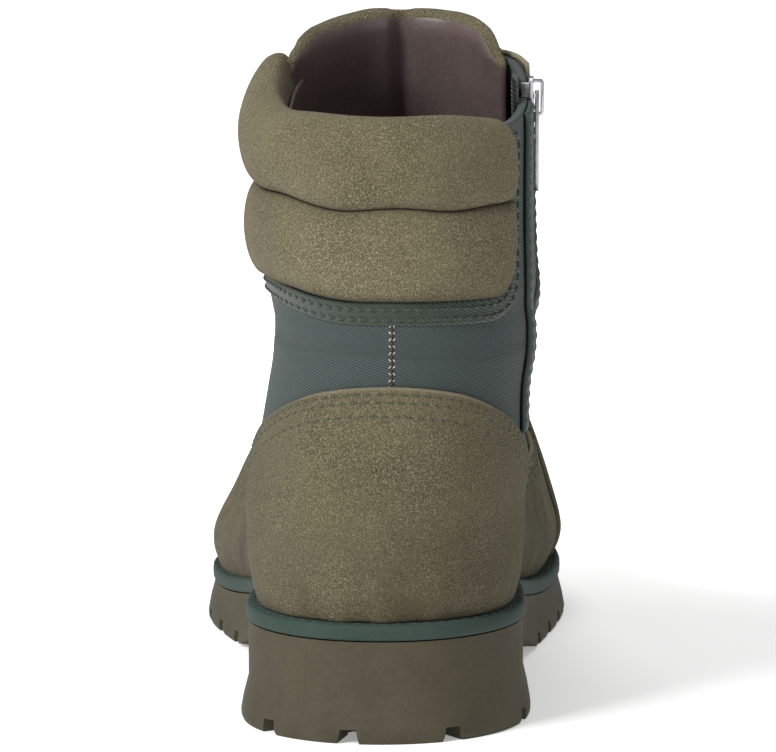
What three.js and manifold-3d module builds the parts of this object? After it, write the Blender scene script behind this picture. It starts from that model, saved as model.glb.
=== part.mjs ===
// Lace-up boot with a side zip, left foot, standing empty on its sole.
// Millimetres. +Z up, +Y towards the toe, +X towards the inner (medial) side of the foot.
import * as THREE from 'three';
import { ParametricGeometry } from 'three/addons/geometries/ParametricGeometry.js';
import { mergeVertices } from 'three/addons/utils/BufferGeometryUtils.js';
import Module from 'manifold-3d';

const wasm = await Module();
wasm.setup();

// Foot and shaft
const lastLength = 289;
const heelWidth = 70;
const ballWidth = 96;
const instepRise = 95;
const shaftRise = 138;
const shaftWidth = 77;
const heelHeight = 33.4;
const ballHeight = 17.6;
const toeSpring = 9;

// Sole
const rimThickness = 4.6;
const rimLedge = 3.4;
const soleFlare = 2.2;
const flareHeight = 12;
const archClear = 11;
const lugDepth = 4;
const lugGap = 6.5;
const lugReach = 13;
const insoleThickness = 3;

// Upper
const wall = 2.3;
const overlayThickness = 1.5;
const fitGap = 0.3;
const collarTop = 173.6;
const collarRise = 17;
const collarCrease = 146;
const collarBottom = 122.6;
const collarEnd = 22;
const collarCap = 3;
const rollBulge = 5.2;
const rollSide = 0.5;
const creaseBulge = 1.4;
const collarInside = 4;
const counterTop = 100;
const counterSide = 76;
const counterReach = 58;
const wingRise = 52;
const toeCapLine = 0.77 * lastLength;

// Throat, tongue and lacing
const throatBottom = 97;
const throatHalf = 13;
const eyestayWidth = 21;
const eyestayTail = 12;
const tongueTop = 202;
const tongueHalf = 34;
const tongueTipHalf = 22;
const tongueThickness = 5;
const tongueTuck = 9;
const eyeletRows = 5;
const hookRows = 2;
const eyeletRadius = 4.2;
const eyeletBore = 2.1;
const eyeletHeight = 0.9;
const eyeletInset = 7;
const laceRadius = 1.5;

// Side zip
const zipLine = 50;
const zipBottom = 74;
const zipSlot = 6.4;
const zipTeethWidth = 4.6;
const zipTapeWidth = 19;
const zipTapeThickness = 1;
const guardWidth = 9;
const sliderLength = 12;
const sliderWidth = 8.4;
const sliderThickness = 1.2;
const sliderTop = 183;
const pullLength = 28;
const pullWidth = 7;
const pullThickness = 1.2;
const pullWindow = 3.4;
const pinRadius = 0.7;
const crownGap = 0.4;
const crownThickness = 1;
const crownWidth = 2.2;

// Grid of the lofted forms
const around = 28;
const levelSteps = 15;
const rollSteps = 11;
const lineSteps = 16;

// Half-widths of a section stand at these shares of its length: heel, waist, ball, toe
const stations = [0.15, 0.42, 0.72, 0.92];

// One row for each section, from under the feather line up to the top of the leg.
// back, front: places along the foot as shares of lastLength.
// backRise: share of shaftRise. footRise, legRise: shares of instepRise and shaftRise at the front.
// leg: how far the widths follow the shaft instead of the foot. heelX, toeX: centre, shares of shaftWidth.
// backCap, frontCap: rounding of the ends, shares of the section's length.
// lateral, medial: half-widths at the stations, shares of heelWidth, heelWidth, ballWidth, ballWidth,
// each turning into a share of shaftWidth as leg grows.
const sections = [
  { back: 0.007, front: 0.99, backRise: -0.045, footRise: -0.06, legRise: 0, leg: 0, heelX: 0, toeX: 0.10,
    backCap: 0.15, frontCap: 0.27, lateral: [0.46, 0.51, 0.61, 0.53], medial: [0.46, 0.39, 0.37, 0.37] },
  { back: 0, front: 1, backRise: 0.007, footRise: 0.01, legRise: 0, leg: 0, heelX: 0, toeX: 0.10,
    backCap: 0.15, frontCap: 0.27, lateral: [0.50, 0.55, 0.645, 0.55], medial: [0.50, 0.43, 0.40, 0.39] },
  { back: -0.007, front: 1.01, backRise: 0.07, footRise: 0.105, legRise: 0, leg: 0, heelX: 0, toeX: 0.10,
    backCap: 0.155, frontCap: 0.28, lateral: [0.53, 0.59, 0.665, 0.58], medial: [0.53, 0.48, 0.43, 0.42] },
  { back: -0.01, front: 1.01, backRise: 0.165, footRise: 0.25, legRise: 0, leg: 0, heelX: 0, toeX: 0.10,
    backCap: 0.16, frontCap: 0.30, lateral: [0.55, 0.61, 0.65, 0.58], medial: [0.555, 0.50, 0.43, 0.43] },
  { back: -0.008, front: 0.985, backRise: 0.27, footRise: 0.40, legRise: 0, leg: 0.1, heelX: 0.01, toeX: 0.10,
    backCap: 0.17, frontCap: 0.33, lateral: [0.54, 0.60, 0.60, 0.52], medial: [0.55, 0.50, 0.41, 0.40] },
  { back: -0.002, front: 0.925, backRise: 0.365, footRise: 0.53, legRise: 0, leg: 0.2, heelX: 0.02, toeX: 0.10,
    backCap: 0.18, frontCap: 0.36, lateral: [0.52, 0.56, 0.51, 0.44], medial: [0.54, 0.49, 0.38, 0.36] },
  { back: 0.005, front: 0.81, backRise: 0.445, footRise: 0.66, legRise: 0, leg: 0.45, heelX: 0.04, toeX: 0.085,
    backCap: 0.21, frontCap: 0.40, lateral: [0.50, 0.52, 0.44, 0.39], medial: [0.52, 0.485, 0.37, 0.35] },
  { back: 0.01, front: 0.69, backRise: 0.525, footRise: 0.81, legRise: 0, leg: 0.7, heelX: 0.06, toeX: 0.08,
    backCap: 0.25, frontCap: 0.44, lateral: [0.48, 0.50, 0.43, 0.38], medial: [0.505, 0.485, 0.38, 0.36] },
  { back: 0.014, front: 0.575, backRise: 0.61, footRise: 1, legRise: 0, leg: 0.9, heelX: 0.07, toeX: 0.07,
    backCap: 0.30, frontCap: 0.47, lateral: [0.485, 0.50, 0.44, 0.40], medial: [0.49, 0.48, 0.41, 0.39] },
  { back: 0.016, front: 0.475, backRise: 0.71, footRise: 1, legRise: 0.15, leg: 1, heelX: 0.065, toeX: 0.065,
    backCap: 0.36, frontCap: 0.50, lateral: [0.495, 0.50, 0.46, 0.42], medial: [0.48, 0.478, 0.44, 0.41] },
  { back: 0.016, front: 0.405, backRise: 0.82, footRise: 1, legRise: 0.28, leg: 1, heelX: 0.065, toeX: 0.065,
    backCap: 0.41, frontCap: 0.50, lateral: [0.50, 0.50, 0.47, 0.43], medial: [0.475, 0.475, 0.455, 0.42] },
  { back: 0.015, front: 0.37, backRise: 0.915, footRise: 1, legRise: 0.38, leg: 1, heelX: 0.065, toeX: 0.065,
    backCap: 0.43, frontCap: 0.50, lateral: [0.50, 0.50, 0.475, 0.435], medial: [0.47, 0.472, 0.46, 0.43] },
  { back: 0.014, front: 0.35, backRise: 1, footRise: 1, legRise: 0.475, leg: 1, heelX: 0.065, toeX: 0.065,
    backCap: 0.44, frontCap: 0.50, lateral: [0.495, 0.495, 0.475, 0.435], medial: [0.465, 0.467, 0.46, 0.43] },
  { back: 0.012, front: 0.33, backRise: 1.1, footRise: 1, legRise: 0.6, leg: 1, heelX: 0.065, toeX: 0.065,
    backCap: 0.44, frontCap: 0.50, lateral: [0.495, 0.495, 0.475, 0.435], medial: [0.465, 0.467, 0.46, 0.43] },
];
const topLevel = sections.length - 1;

// Small helpers
const mix = (a, b, t) => a + (b - a) * t;
const clamp = (x, low, high) => Math.min(high, Math.max(low, x));
const smooth = (t) => {
  const c = clamp(t, 0, 1);
  return c * c * (3 - 2 * c);
};

// A smooth curve through evenly spaced values, read at place t
function through(values, t) {
  const i = clamp(Math.floor(t), 0, values.length - 2);
  const f = clamp(t - i, 0, 1);
  const at = (k) => values[clamp(k, 0, values.length - 1)];
  const [a, b, c, d] = [at(i - 1), at(i), at(i + 1), at(i + 2)];
  const slopeB = (c - a) / 2;
  const slopeC = (d - b) / 2;
  const f2 = f * f;
  const f3 = f2 * f;
  return b * (2 * f3 - 3 * f2 + 1) + slopeB * (f3 - 2 * f2 + f)
    + c * (3 * f2 - 2 * f3) + slopeC * (f3 - f2);
}

// Height of the feather line, where the upper meets the sole, along the foot
const seatEnd = 0.2 * lastLength;
const ballPlace = 0.67 * lastLength;
const springStart = 0.72 * lastLength;
function feather(y) {
  const drop = smooth((y - seatEnd) / (ballPlace - seatEnd));
  const spring = Math.max(0, (y - springStart) / (lastLength - springStart));
  return mix(heelHeight, ballHeight, drop) + toeSpring * spring ** 2;
}

// One section of the last, read between the rows of the table
function sectionAt(level) {
  const column = (name) => through(sections.map((row) => row[name]), level);
  const leg = column('leg');
  const units = [heelWidth, heelWidth, ballWidth, ballWidth].map((size) => mix(size, shaftWidth, leg));
  const halves = (side) => units.map((unit, k) => unit * through(sections.map((row) => row[side][k]), level));
  return {
    back: column('back') * lastLength,
    front: column('front') * lastLength,
    backRise: column('backRise') * shaftRise,
    frontRise: column('footRise') * instepRise + column('legRise') * shaftRise,
    heelX: column('heelX') * shaftWidth,
    toeX: column('toeX') * shaftWidth,
    backCap: column('backCap'),
    frontCap: column('frontCap'),
    lateral: halves('lateral'),
    medial: halves('medial'),
  };
}

// Half-width between the stations
function halfWidth(halves, share) {
  let k = 0;
  while (k < stations.length - 2 && share > stations[k + 1]) k += 1;
  const place = k + (share - stations[k]) / (stations[k + 1] - stations[k]);
  return through(halves, clamp(place, 0, stations.length - 1));
}

// How far the section has opened from its rounded ends
function endRound(share, backCap, frontCap) {
  const open = (t, power) => (1 - (1 - clamp(t, 0, 1)) ** power) ** (1 / power);
  return open(share / backCap, 2.1) * open((1 - share) / frontCap, 2.2);
}

// A point of the last: turn 0 is the heel back, pi the toe, and the inner side lies between 0 and pi
const sectionCache = new Map();
function onLast(level, turn) {
  const key = Math.round(level * 1e6);
  if (!sectionCache.has(key)) sectionCache.set(key, sectionAt(level));
  const s = sectionCache.get(key);
  const share = (1 - Math.cos(turn)) / 2;
  const inner = Math.sin(turn) >= 0;
  const y = mix(s.back, s.front, share);
  const half = halfWidth(inner ? s.medial : s.lateral, share) * endRound(share, s.backCap, s.frontCap);
  const x = mix(s.heelX, s.toeX, share) + (inner ? half : -half);
  return new THREE.Vector3(x, y, feather(y) + mix(s.backRise, s.frontRise, share));
}

// The same point moved out along the last's own surface direction
const probe = 1e-3;
function skin(level, turn, offset) {
  const point = onLast(level, turn);
  if (!offset) return point;
  const low = clamp(level - probe, 0, topLevel);
  const high = clamp(level + probe, 0, topLevel);
  const upwards = onLast(high, turn).sub(onLast(low, turn));
  const onwards = onLast(level, turn + probe).sub(onLast(level, turn - probe));
  const outwards = onwards.cross(upwards).normalize();
  return point.addScaledVector(outwards, offset);
}

// Solids: a closed three.js geometry becomes a manifold, and a manifold becomes a geometry again
function solid(geometry) {
  const bare = geometry.clone();
  bare.deleteAttribute('normal');
  bare.deleteAttribute('uv');
  const merged = mergeVertices(bare, 1e-4);
  const index = merged.index.array;
  const kept = [];
  for (let i = 0; i < index.length; i += 3) {
    const [a, b, c] = [index[i], index[i + 1], index[i + 2]];
    if (a !== b && b !== c && c !== a) kept.push(a, b, c);
  }
  return new wasm.Manifold(new wasm.Mesh({
    numProp: 3,
    vertProperties: new Float32Array(merged.attributes.position.array),
    triVerts: new Uint32Array(kept),
  }));
}

function geometryOf(manifold) {
  const mesh = manifold.getMesh();
  const geometry = new THREE.BufferGeometry();
  geometry.setAttribute('position', new THREE.BufferAttribute(mesh.vertProperties.slice(), 3));
  geometry.setIndex(new THREE.BufferAttribute(mesh.triVerts.slice(), 1));
  return geometry;
}

// A closed form whose outer face is the last moved out by offset(level, turn), between two levels.
// Its ends are cones that reach beyond the end rings by endReach.
function form(offset, endReach, low = 0, high = topLevel, steps = levelSteps) {
  const reach = typeof offset === 'function' ? offset : () => offset;
  const turnOf = (u) => (u >= 1 ? 0 : u) * 2 * Math.PI;
  const middle = (level) => onLast(level, 0).lerp(onLast(level, Math.PI), 0.5);
  const under = middle(low).sub(new THREE.Vector3(0, 0, endReach));
  const over = middle(high).add(new THREE.Vector3(0, 0, endReach));
  const rows = steps + 2;
  const surface = (u, v, target) => {
    const row = Math.round(v * rows);
    if (row === 0) return target.copy(under);
    if (row === rows) return target.copy(over);
    const level = mix(low, high, (row - 1) / steps);
    const turn = turnOf(u);
    return target.copy(skin(level, turn, reach(level, turn)));
  };
  return solid(new ParametricGeometry(surface, around, rows));
}

// A wall between two such forms, open at both ends because the inner one reaches further
const outerReach = 40;
const innerReach = 90;
function shell(outside, inside, low, high, steps) {
  return form(outside, outerReach, low, high, steps).subtract(form(inside, innerReach, low, high, steps));
}

// A prism across the boot, from an outline seen from the side: points are [y, z]
function sidePrism(outline, x0, x1) {
  const geometry = new THREE.ExtrudeGeometry(outline, { depth: x1 - x0, bevelEnabled: false, curveSegments: 8 });
  geometry.applyMatrix4(new THREE.Matrix4().set(0, 0, 1, x0, 1, 0, 0, 0, 0, 1, 0, 0, 0, 0, 0, 1));
  return solid(geometry);
}

// A prism along the boot, from an outline seen from behind or in front: points are [x, z]
function frontPrism(outline, y0, y1) {
  const geometry = new THREE.ExtrudeGeometry(outline, { depth: y1 - y0, bevelEnabled: false, curveSegments: 8 });
  geometry.applyMatrix4(new THREE.Matrix4().set(1, 0, 0, 0, 0, 0, -1, y1, 0, 1, 0, 0, 0, 0, 0, 1));
  return solid(geometry);
}

// An outline through points, each given as [across, up]
function outlineOf(points) {
  return new THREE.Shape(points.map(([a, b]) => new THREE.Vector2(a, b)));
}

// A smooth run of points through a few, for use inside an outline
function run(points, count = 12) {
  const curve = new THREE.SplineCurve(points.map(([a, b]) => new THREE.Vector2(a, b)));
  return curve.getPoints(count).map((p) => [p.x, p.y]);
}

// Everything beyond the boot in a direction
const far = 400;

// Region above a height line along the foot
function above(heightAt, count = lineSteps) {
  const line = [];
  for (let i = 0; i <= count; i += 1) {
    const y = mix(-far / 8, far, i / count);
    line.push([y, heightAt(y)]);
  }
  return sidePrism(outlineOf([...line, [far, far], [-far / 8, far]]), -far, far);
}

// Sole
const soleLevel = 1.4;
function soleEdge(turn, offset) {
  const here = onLast(soleLevel, turn);
  const along = onLast(soleLevel, turn + probe).sub(onLast(soleLevel, turn - probe));
  const outwards = new THREE.Vector3(along.y, -along.x, 0).normalize();
  return here.addScaledVector(outwards, offset);
}

// Column with the sole's outline, one ring for each [height, offset]
function soleColumn(rings) {
  const surface = (u, v, target) => {
    const row = Math.round(v * (rings.length + 1));
    const ring = rings[clamp(row - 1, 0, rings.length - 1)];
    const turn = (u >= 1 ? 0 : u) * 2 * Math.PI;
    target.copy(soleEdge(turn, ring[1])).setZ(ring[0]);
    if (row === 0 || row === rings.length + 1) target.set(0, lastLength / 2, ring[0]);
    return target;
  };
  return solid(new ParametricGeometry(surface, around * 1.5, rings.length + 1));
}

const heelBreast = 0.27 * lastLength;
const forefootStart = 0.53 * lastLength;
const treadEnd = 0.76 * lastLength;
const soleTip = lastLength + 3 * rimLedge;
const soleTipRise = toeSpring + 3;
function treadOutline() {
  const shape = new THREE.Shape();
  shape.moveTo(-far / 8, 0);
  shape.lineTo(heelBreast, 0);
  shape.lineTo(heelBreast + 0.02 * lastLength, 0.6 * archClear);
  shape.bezierCurveTo(
    heelBreast + 0.06 * lastLength, 1.2 * archClear,
    forefootStart - 0.1 * lastLength, 0.9 * archClear,
    forefootStart, 0,
  );
  shape.lineTo(treadEnd, 0);
  shape.quadraticCurveTo(mix(treadEnd, soleTip, 0.55), 0, soleTip, soleTipRise);
  shape.lineTo(far, soleTipRise);
  shape.lineTo(far, far);
  shape.lineTo(-far / 8, far);
  return shape;
}

// Grooves between the lugs: slots in from the edge of the sole, and bars across the middle of the tread
const heelSlots = [-0.8, -0.43, -0.09, 0.28, 0.68];
const foreSlots = [0.54, 0.61, 0.68, 0.75, 0.82, 0.9];
const crossGrooves = [
  { place: 0.035, half: 0.17 }, { place: 0.19, half: 0.24 },
  { place: 0.59, half: 0.3 }, { place: 0.66, half: 0.32 }, { place: 0.78, half: 0.32 }, { place: 0.86, half: 0.25 },
];
function edgeSlot(turn) {
  const edge = soleEdge(turn, 0);
  const heading = soleEdge(turn, 1).sub(edge).normalize();
  const slot = new THREE.BoxGeometry(2 * lugReach, lugGap, 2 * lugDepth);
  slot.rotateZ(Math.atan2(heading.y, heading.x));
  const rise = edge.y > treadEnd ? soleTipRise * ((edge.y - treadEnd) / (soleTip - treadEnd)) ** 2 : 0;
  slot.translate(edge.x, edge.y, rise);
  return solid(slot);
}
function treadGrooves() {
  const slots = heelSlots.map((turn) => edgeSlot(turn));
  const turnAtShare = (share) => Math.acos(1 - 2 * share);
  foreSlots.forEach((share) => {
    slots.push(edgeSlot(turnAtShare(share)), edgeSlot(-turnAtShare(share)));
  });
  crossGrooves.forEach(({ place, half }) => {
    const y = place * lastLength;
    const rise = y > treadEnd ? soleTipRise * ((y - treadEnd) / (soleTip - treadEnd)) ** 2 : 0;
    const bar = new THREE.BoxGeometry(2 * half * ballWidth, 0.6 * lugGap, 2 * 0.6 * lugDepth);
    bar.translate(0.04 * ballWidth * Math.sign(place - 0.3), y, rise);
    slots.push(solid(bar));
  });
  return slots.reduce((all, next) => all.add(next));
}

const rimTop = (y) => feather(y);
const rimUnder = (y) => feather(y) - rimThickness;
const column = soleColumn([
  [-1, rimLedge + soleFlare], [1, rimLedge + soleFlare], [flareHeight, rimLedge], [far / 4, rimLedge],
]);
const outsole = column
  .intersect(sidePrism(treadOutline(), -far, far))
  .subtract(above((y) => rimUnder(y) - fitGap))
  .subtract(treadGrooves());

const rimColumn = soleColumn([[-1, rimLedge + 0.6], [far / 4, rimLedge + 0.6]]);
const rim = rimColumn.intersect(above(rimUnder)).subtract(above(rimTop));

// Upper: a hollow wall cut to its top line, its throat and the slot of the zip
const collarFront = 0.3 * lastLength;
function toplineAt(y) {
  return collarTop + collarRise * smooth((y - 0.06 * lastLength) / (collarFront - 0.06 * lastLength));
}
const upperTop = (y) => toplineAt(y) - collarCap - fitGap;
const throatX = 0.068 * shaftWidth;
function throatOutline(extra, bottom) {
  const half = throatHalf + extra;
  const shape = new THREE.Shape();
  shape.moveTo(throatX + half, far);
  shape.lineTo(throatX - half, far);
  shape.lineTo(throatX - half, bottom + half);
  shape.absarc(throatX, bottom + half, half, Math.PI, 2 * Math.PI, false);
  return shape;
}
const shaftMiddle = 0.19 * lastLength;
const throat = frontPrism(throatOutline(0, throatBottom), shaftMiddle, far);
const zipCut = sidePrism(outlineOf([
  [zipLine - zipSlot / 2, zipBottom], [zipLine + zipSlot / 2, zipBottom],
  [zipLine + zipSlot / 2, far], [zipLine - zipSlot / 2, far],
]), throatX, far);

// Eyelets sit beside the throat, evenly spaced up the front
const laceRows = eyeletRows + hookRows;
const laceFirst = 0.52;
function frontLevel(row) {
  return mix(topLevel * laceFirst, topLevel * 0.9, row / (laceRows - 1));
}
function frontTurn(level, x) {
  let [low, high] = [0.5 * Math.PI, Math.PI];
  const side = x > throatX ? 1 : -1;
  for (let i = 0; i < 40; i += 1) {
    const middle = (low + high) / 2;
    const beyond = Math.abs(onLast(level, side * middle).x - throatX) > Math.abs(x - throatX);
    if (beyond) low = middle;
    else high = middle;
  }
  return side * low;
}
function lacePoint(row, side) {
  const level = frontLevel(row);
  const turn = frontTurn(level, throatX + side * (throatHalf + eyeletInset));
  return { level, turn };
}

// A solid of revolution or extrusion set on the skin with its axis along the outward direction
function setOnSkin(geometry, { level, turn }, offset) {
  const base = skin(level, turn, offset);
  const outwards = skin(level, turn, offset + 1).sub(base).normalize();
  const upwards = skin(clamp(level + 0.05, 0, topLevel), turn, offset).sub(base);
  const across = upwards.cross(outwards).normalize();
  const along = new THREE.Vector3().crossVectors(outwards, across);
  const place = new THREE.Matrix4().makeBasis(across, along, outwards).setPosition(base);
  return geometry.clone().applyMatrix4(place);
}
function eyeletHole(point) {
  const bore = new THREE.CylinderGeometry(eyeletBore, eyeletBore, 16, 8).rotateX(Math.PI / 2);
  return solid(setOnSkin(bore, point, 0));
}
const eyeletPoints = [];
for (let row = 0; row < eyeletRows; row += 1) {
  eyeletPoints.push(lacePoint(row, -1), lacePoint(row, 1));
}
const eyeletHoles = eyeletPoints.map(eyeletHole).reduce((all, next) => all.add(next));

const seated = above((y) => rimTop(y) + fitGap);
const upper = shell(0, -wall)
  .intersect(seated)
  .subtract(above(upperTop))
  .subtract(throat)
  .subtract(zipCut)
  .subtract(eyeletHoles);

const insole = form(-wall - fitGap, outerReach, 0, 4, 6)
  .intersect(seated)
  .subtract(above((y) => rimTop(y) + fitGap + insoleThickness));

// Tongue: a padded sheet inside the throat, as wide as the front of the leg at its top
const tongueX = 0.04 * shaftWidth;
// One side of its top: across as shares of tongueHalf, down from tongueTop as shares of tongueHalf
const tongueEdge = [
  { across: 1, down: 0.6 }, { across: 0.99, down: 0.42 }, { across: 0.89, down: 0.21 },
  { across: 0.62, down: 0.09 }, { across: 0.3, down: 0.01 }, { across: 0.06, down: 0.02 }, { across: 0, down: 0.06 },
];
function tongueOutline() {
  const foot = throatBottom - tongueTuck;
  const top = run(tongueEdge.map(({ across, down }) => [across * tongueHalf, tongueTop - down * tongueHalf]), 14);
  const side = [[tongueTipHalf, foot], [tongueHalf, collarBottom], ...top];
  const other = side.slice(0, -1).reverse().map(([a, b]) => [-a, b]);
  return outlineOf([...side, ...other].map(([a, b]) => [tongueX + a, b]));
}
const tongueBack = zipLine + zipTapeWidth / 2 + 2;
const tongue = shell(-wall - fitGap, -wall - fitGap - tongueThickness)
  .intersect(frontPrism(tongueOutline(), tongueBack, far));

// Overlays: cut between two forms a little larger than the upper
const overlay = shell(fitGap + overlayThickness, fitGap).intersect(seated);

const counterFront = counterReach;
function counterRegion(grow) {
  const front = counterFront + grow;
  const line = run([
    [front, heelHeight], [front - 2, 0.83 * counterSide], [front - 14, counterSide + grow],
    [0.085 * lastLength, mix(counterSide, counterTop, 0.5) + grow],
    [0.03 * lastLength, mix(counterSide, counterTop, 0.85) + grow], [0, counterTop + grow],
    [-far / 8, counterTop + grow],
  ], 14);
  return sidePrism(outlineOf([[-far / 8, -10], [front, -10], ...line]), -far, far);
}
const counter = overlay.intersect(counterRegion(0));

// Vamp wings run from the counter to the toe cap, low along the foot
const wingBack = counterFront + 1.2;
const wingLine = run([
  [wingBack, counterSide - 1], [0.3 * lastLength, feather(0.3 * lastLength) + 0.75 * wingRise],
  [0.5 * lastLength, feather(0.5 * lastLength) + 0.6 * wingRise],
  [0.68 * lastLength, feather(0.68 * lastLength) + 0.68 * wingRise],
  [toeCapLine - 0.6, feather(toeCapLine) + 0.8 * wingRise],
], 14);
const wingOutline = outlineOf([[wingBack, -10], ...wingLine, [toeCapLine - 0.6, -10]]);
const wings = overlay.intersect(sidePrism(wingOutline, -far, far));
const wingLateral = wings.subtract(frontPrism(outlineOf([[throatX, -10], [far, -10], [far, far], [throatX, far]]), -far, far));
const wingMedial = wings.subtract(wingLateral);

const toeCapOutline = outlineOf([
  [toeCapLine + 0.6, -10], [far, -10], [far, far],
  ...run([
    [toeCapLine + 0.03 * lastLength, far], [toeCapLine + 0.03 * lastLength, 0.95 * instepRise],
    [toeCapLine + 0.6, 0.63 * instepRise], [toeCapLine + 0.6, 0.2 * instepRise],
  ], 10),
]);
const toeCap = overlay.intersect(sidePrism(toeCapOutline, -far, far));

// The guards of the zip leave room for its slider
const guardNear = sliderWidth / 2 + 2 * fitGap;
const guardEnd = zipLine + guardNear + guardWidth;

// Eyestays: one on each side of the throat
function eyestay(side) {
  const near = throatX + side * (throatHalf - 0.01);
  const edge = throatX + side * (throatHalf + eyestayWidth);
  const points = [
    [near, throatBottom - eyestayTail],
    [mix(near, edge, 0.6), throatBottom - eyestayTail],
    [edge, throatBottom + 8],
    [edge, far],
    [near, far],
  ];
  if (side > 0) points.reverse();
  const band = frontPrism(outlineOf(points), shaftMiddle + guardWidth, far);
  const front = sidePrism(outlineOf([
    [guardEnd + 1, throatBottom + 0.3 * instepRise], [guardEnd + 0.5 * instepRise, throatBottom - 0.6 * instepRise],
    [far, throatBottom - 0.6 * instepRise], [far, far], [guardEnd + 1, far],
  ]), -far, far);
  return overlay
    .intersect(band)
    .intersect(front)
    .subtract(above(upperTop))
    .subtract(eyeletHoles);
}
const eyestayLateral = eyestay(-1);
const eyestayMedial = eyestay(1);

// Padded collar: two rolls outside, a pad inside, closed over the top edge of the upper
function rollOffset(level, turn) {
  const z = onLast(level, turn).z;
  const top = toplineAt(onLast(level, turn).y);
  const upperRoll = clamp((z - collarCrease) / (top - collarCrease), 0, 1);
  const lowerRoll = clamp((z - collarBottom) / (collarCrease - collarBottom), 0, 1);
  const hump = (t) => Math.sqrt(Math.max(0, 1 - (2 * t - 1) ** 2));
  const outer = Math.max(0, -Math.sin(turn));
  const height = z > collarCrease
    ? (1 + rollSide * outer) * hump(upperRoll)
    : 0.85 * (1 + 0.4 * rollSide * outer) * hump(lowerRoll);
  return fitGap + mix(creaseBulge, rollBulge, height);
}
const collarLow = 6.5;
const collarBand = sidePrism(outlineOf([
  [-far / 8, collarBottom], [0.24 * lastLength, collarBottom], [0.235 * lastLength, far], [-far / 8, far],
]), -far, far);
const collarMedialEnd = sidePrism(outlineOf([
  [collarEnd, 0], [far, 0], [far, far], [collarEnd, far],
]), throatX, far);
const saddleSlot = shell(fitGap, -wall - fitGap)
  .subtract(above((y) => toplineAt(y) - collarCap));
const collar = shell(rollOffset, -wall - fitGap - collarInside, collarLow, topLevel, rollSteps)
  .intersect(collarBand)
  .subtract(collarMedialEnd)
  .subtract(above(toplineAt))
  .subtract(saddleSlot)
  .subtract(form(-wall, innerReach).intersect(sidePrism(outlineOf([
    [tongueBack - 2 * fitGap, 0], [far, 0], [far, far], [tongueBack - 2 * fitGap, far],
  ]), -far, far)));

// Side zip
function zipStrip(halfWide, low, high, inside, outside) {
  const strip = sidePrism(outlineOf([
    [zipLine - halfWide, low], [zipLine + halfWide, low], [zipLine + halfWide, high], [zipLine - halfWide, high],
  ]), throatX, far);
  return shell(outside, inside).intersect(strip);
}
const sliderBottom = sliderTop - sliderLength;
const tapeInside = -wall - fitGap - zipTapeThickness;
const zipTape = zipStrip(zipTapeWidth / 2, zipBottom - 6, sliderTop, tapeInside, -wall - fitGap);
const zipTeeth = zipStrip(zipTeethWidth / 2, zipBottom + fitGap, sliderBottom - fitGap, tapeInside, fitGap);
const zip = zipTape.add(zipTeeth);

function guard(front) {
  const near = zipLine + (front ? 1 : -1) * guardNear;
  const edge = zipLine + (front ? 1 : -1) * (guardNear + guardWidth);
  const strip = sidePrism(outlineOf([
    [Math.min(near, edge), zipBottom + 8], [Math.max(near, edge), zipBottom + 8],
    [Math.max(near, edge), far], [Math.min(near, edge), far],
  ]), throatX, far);
  return overlay.intersect(strip).subtract(above(upperTop)).subtract(counterRegion(2 * fitGap));
}
const guardBack = guard(false);
const guardFront = guard(true);

// Slider: a waisted plate with a wedge in the slot and a long crown that holds the top bar of the pull
function levelAt(z) {
  let [low, high] = [0, topLevel];
  for (let i = 0; i < 40; i += 1) {
    const middle = (low + high) / 2;
    const s = sectionAt(middle);
    const turn = Math.acos(1 - (2 * (zipLine - s.back)) / (s.front - s.back));
    if (onLast(middle, turn).z < z) low = middle;
    else high = middle;
  }
  const s = sectionAt(low);
  return { level: low, turn: Math.acos(1 - (2 * (zipLine - s.back)) / (s.front - s.back)) };
}
const sliderSeat = levelAt((sliderTop + sliderBottom) / 2);
const sliderX = skin(sliderSeat.level, sliderSeat.turn, 0).x;
const plateInner = sliderX + 2 * fitGap;
const plateOuter = plateInner + sliderThickness;
const pinX = plateOuter + crownGap + pullThickness / 2;
const pinZ = sliderTop - 0.42 * sliderLength;
function sliderOutline() {
  const half = sliderWidth / 2;
  const shape = new THREE.Shape();
  shape.moveTo(zipLine - 0.6 * half, sliderBottom);
  shape.lineTo(zipLine + 0.6 * half, sliderBottom);
  shape.quadraticCurveTo(zipLine + 0.75 * half, pinZ, zipLine + half, sliderTop - 1.5);
  shape.quadraticCurveTo(zipLine + 0.5 * half, sliderTop + 0.6, zipLine, sliderTop - 0.8);
  shape.quadraticCurveTo(zipLine - 0.5 * half, sliderTop + 0.6, zipLine - half, sliderTop - 1.5);
  shape.quadraticCurveTo(zipLine - 0.75 * half, pinZ, zipLine - 0.6 * half, sliderBottom);
  return shape;
}
const crownReach = pinX + pullThickness / 2 + crownGap;
function crownOutline() {
  const [low, high] = [sliderBottom + 0.6, sliderTop - 1];
  const outer = crownReach + crownThickness;
  const shape = outlineOf([
    [plateInner + 0.5 * sliderThickness, low], [outer - 0.6 * crownThickness, low], [outer, low + crownThickness],
    [outer, high - crownThickness], [outer - 0.6 * crownThickness, high], [plateInner + 0.5 * sliderThickness, high],
  ]);
  shape.holes.push(new THREE.Path([
    [plateOuter, low + crownThickness], [plateOuter, high - crownThickness],
    [crownReach, high - crownThickness], [crownReach, low + crownThickness],
  ].map(([a, b]) => new THREE.Vector2(a, b))));
  return shape;
}
const sliderPlate = sidePrism(sliderOutline(), plateInner, plateOuter);
const sliderWedge = sidePrism(outlineOf([
  [zipLine - zipTeethWidth / 2, sliderBottom + 0.4], [zipLine + zipTeethWidth / 2, sliderBottom + 0.4],
  [zipLine + zipTeethWidth / 2, sliderTop - 2], [zipLine - zipTeethWidth / 2, sliderTop - 2],
]), sliderX - wall + 0.6, plateInner + 0.1);
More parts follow.
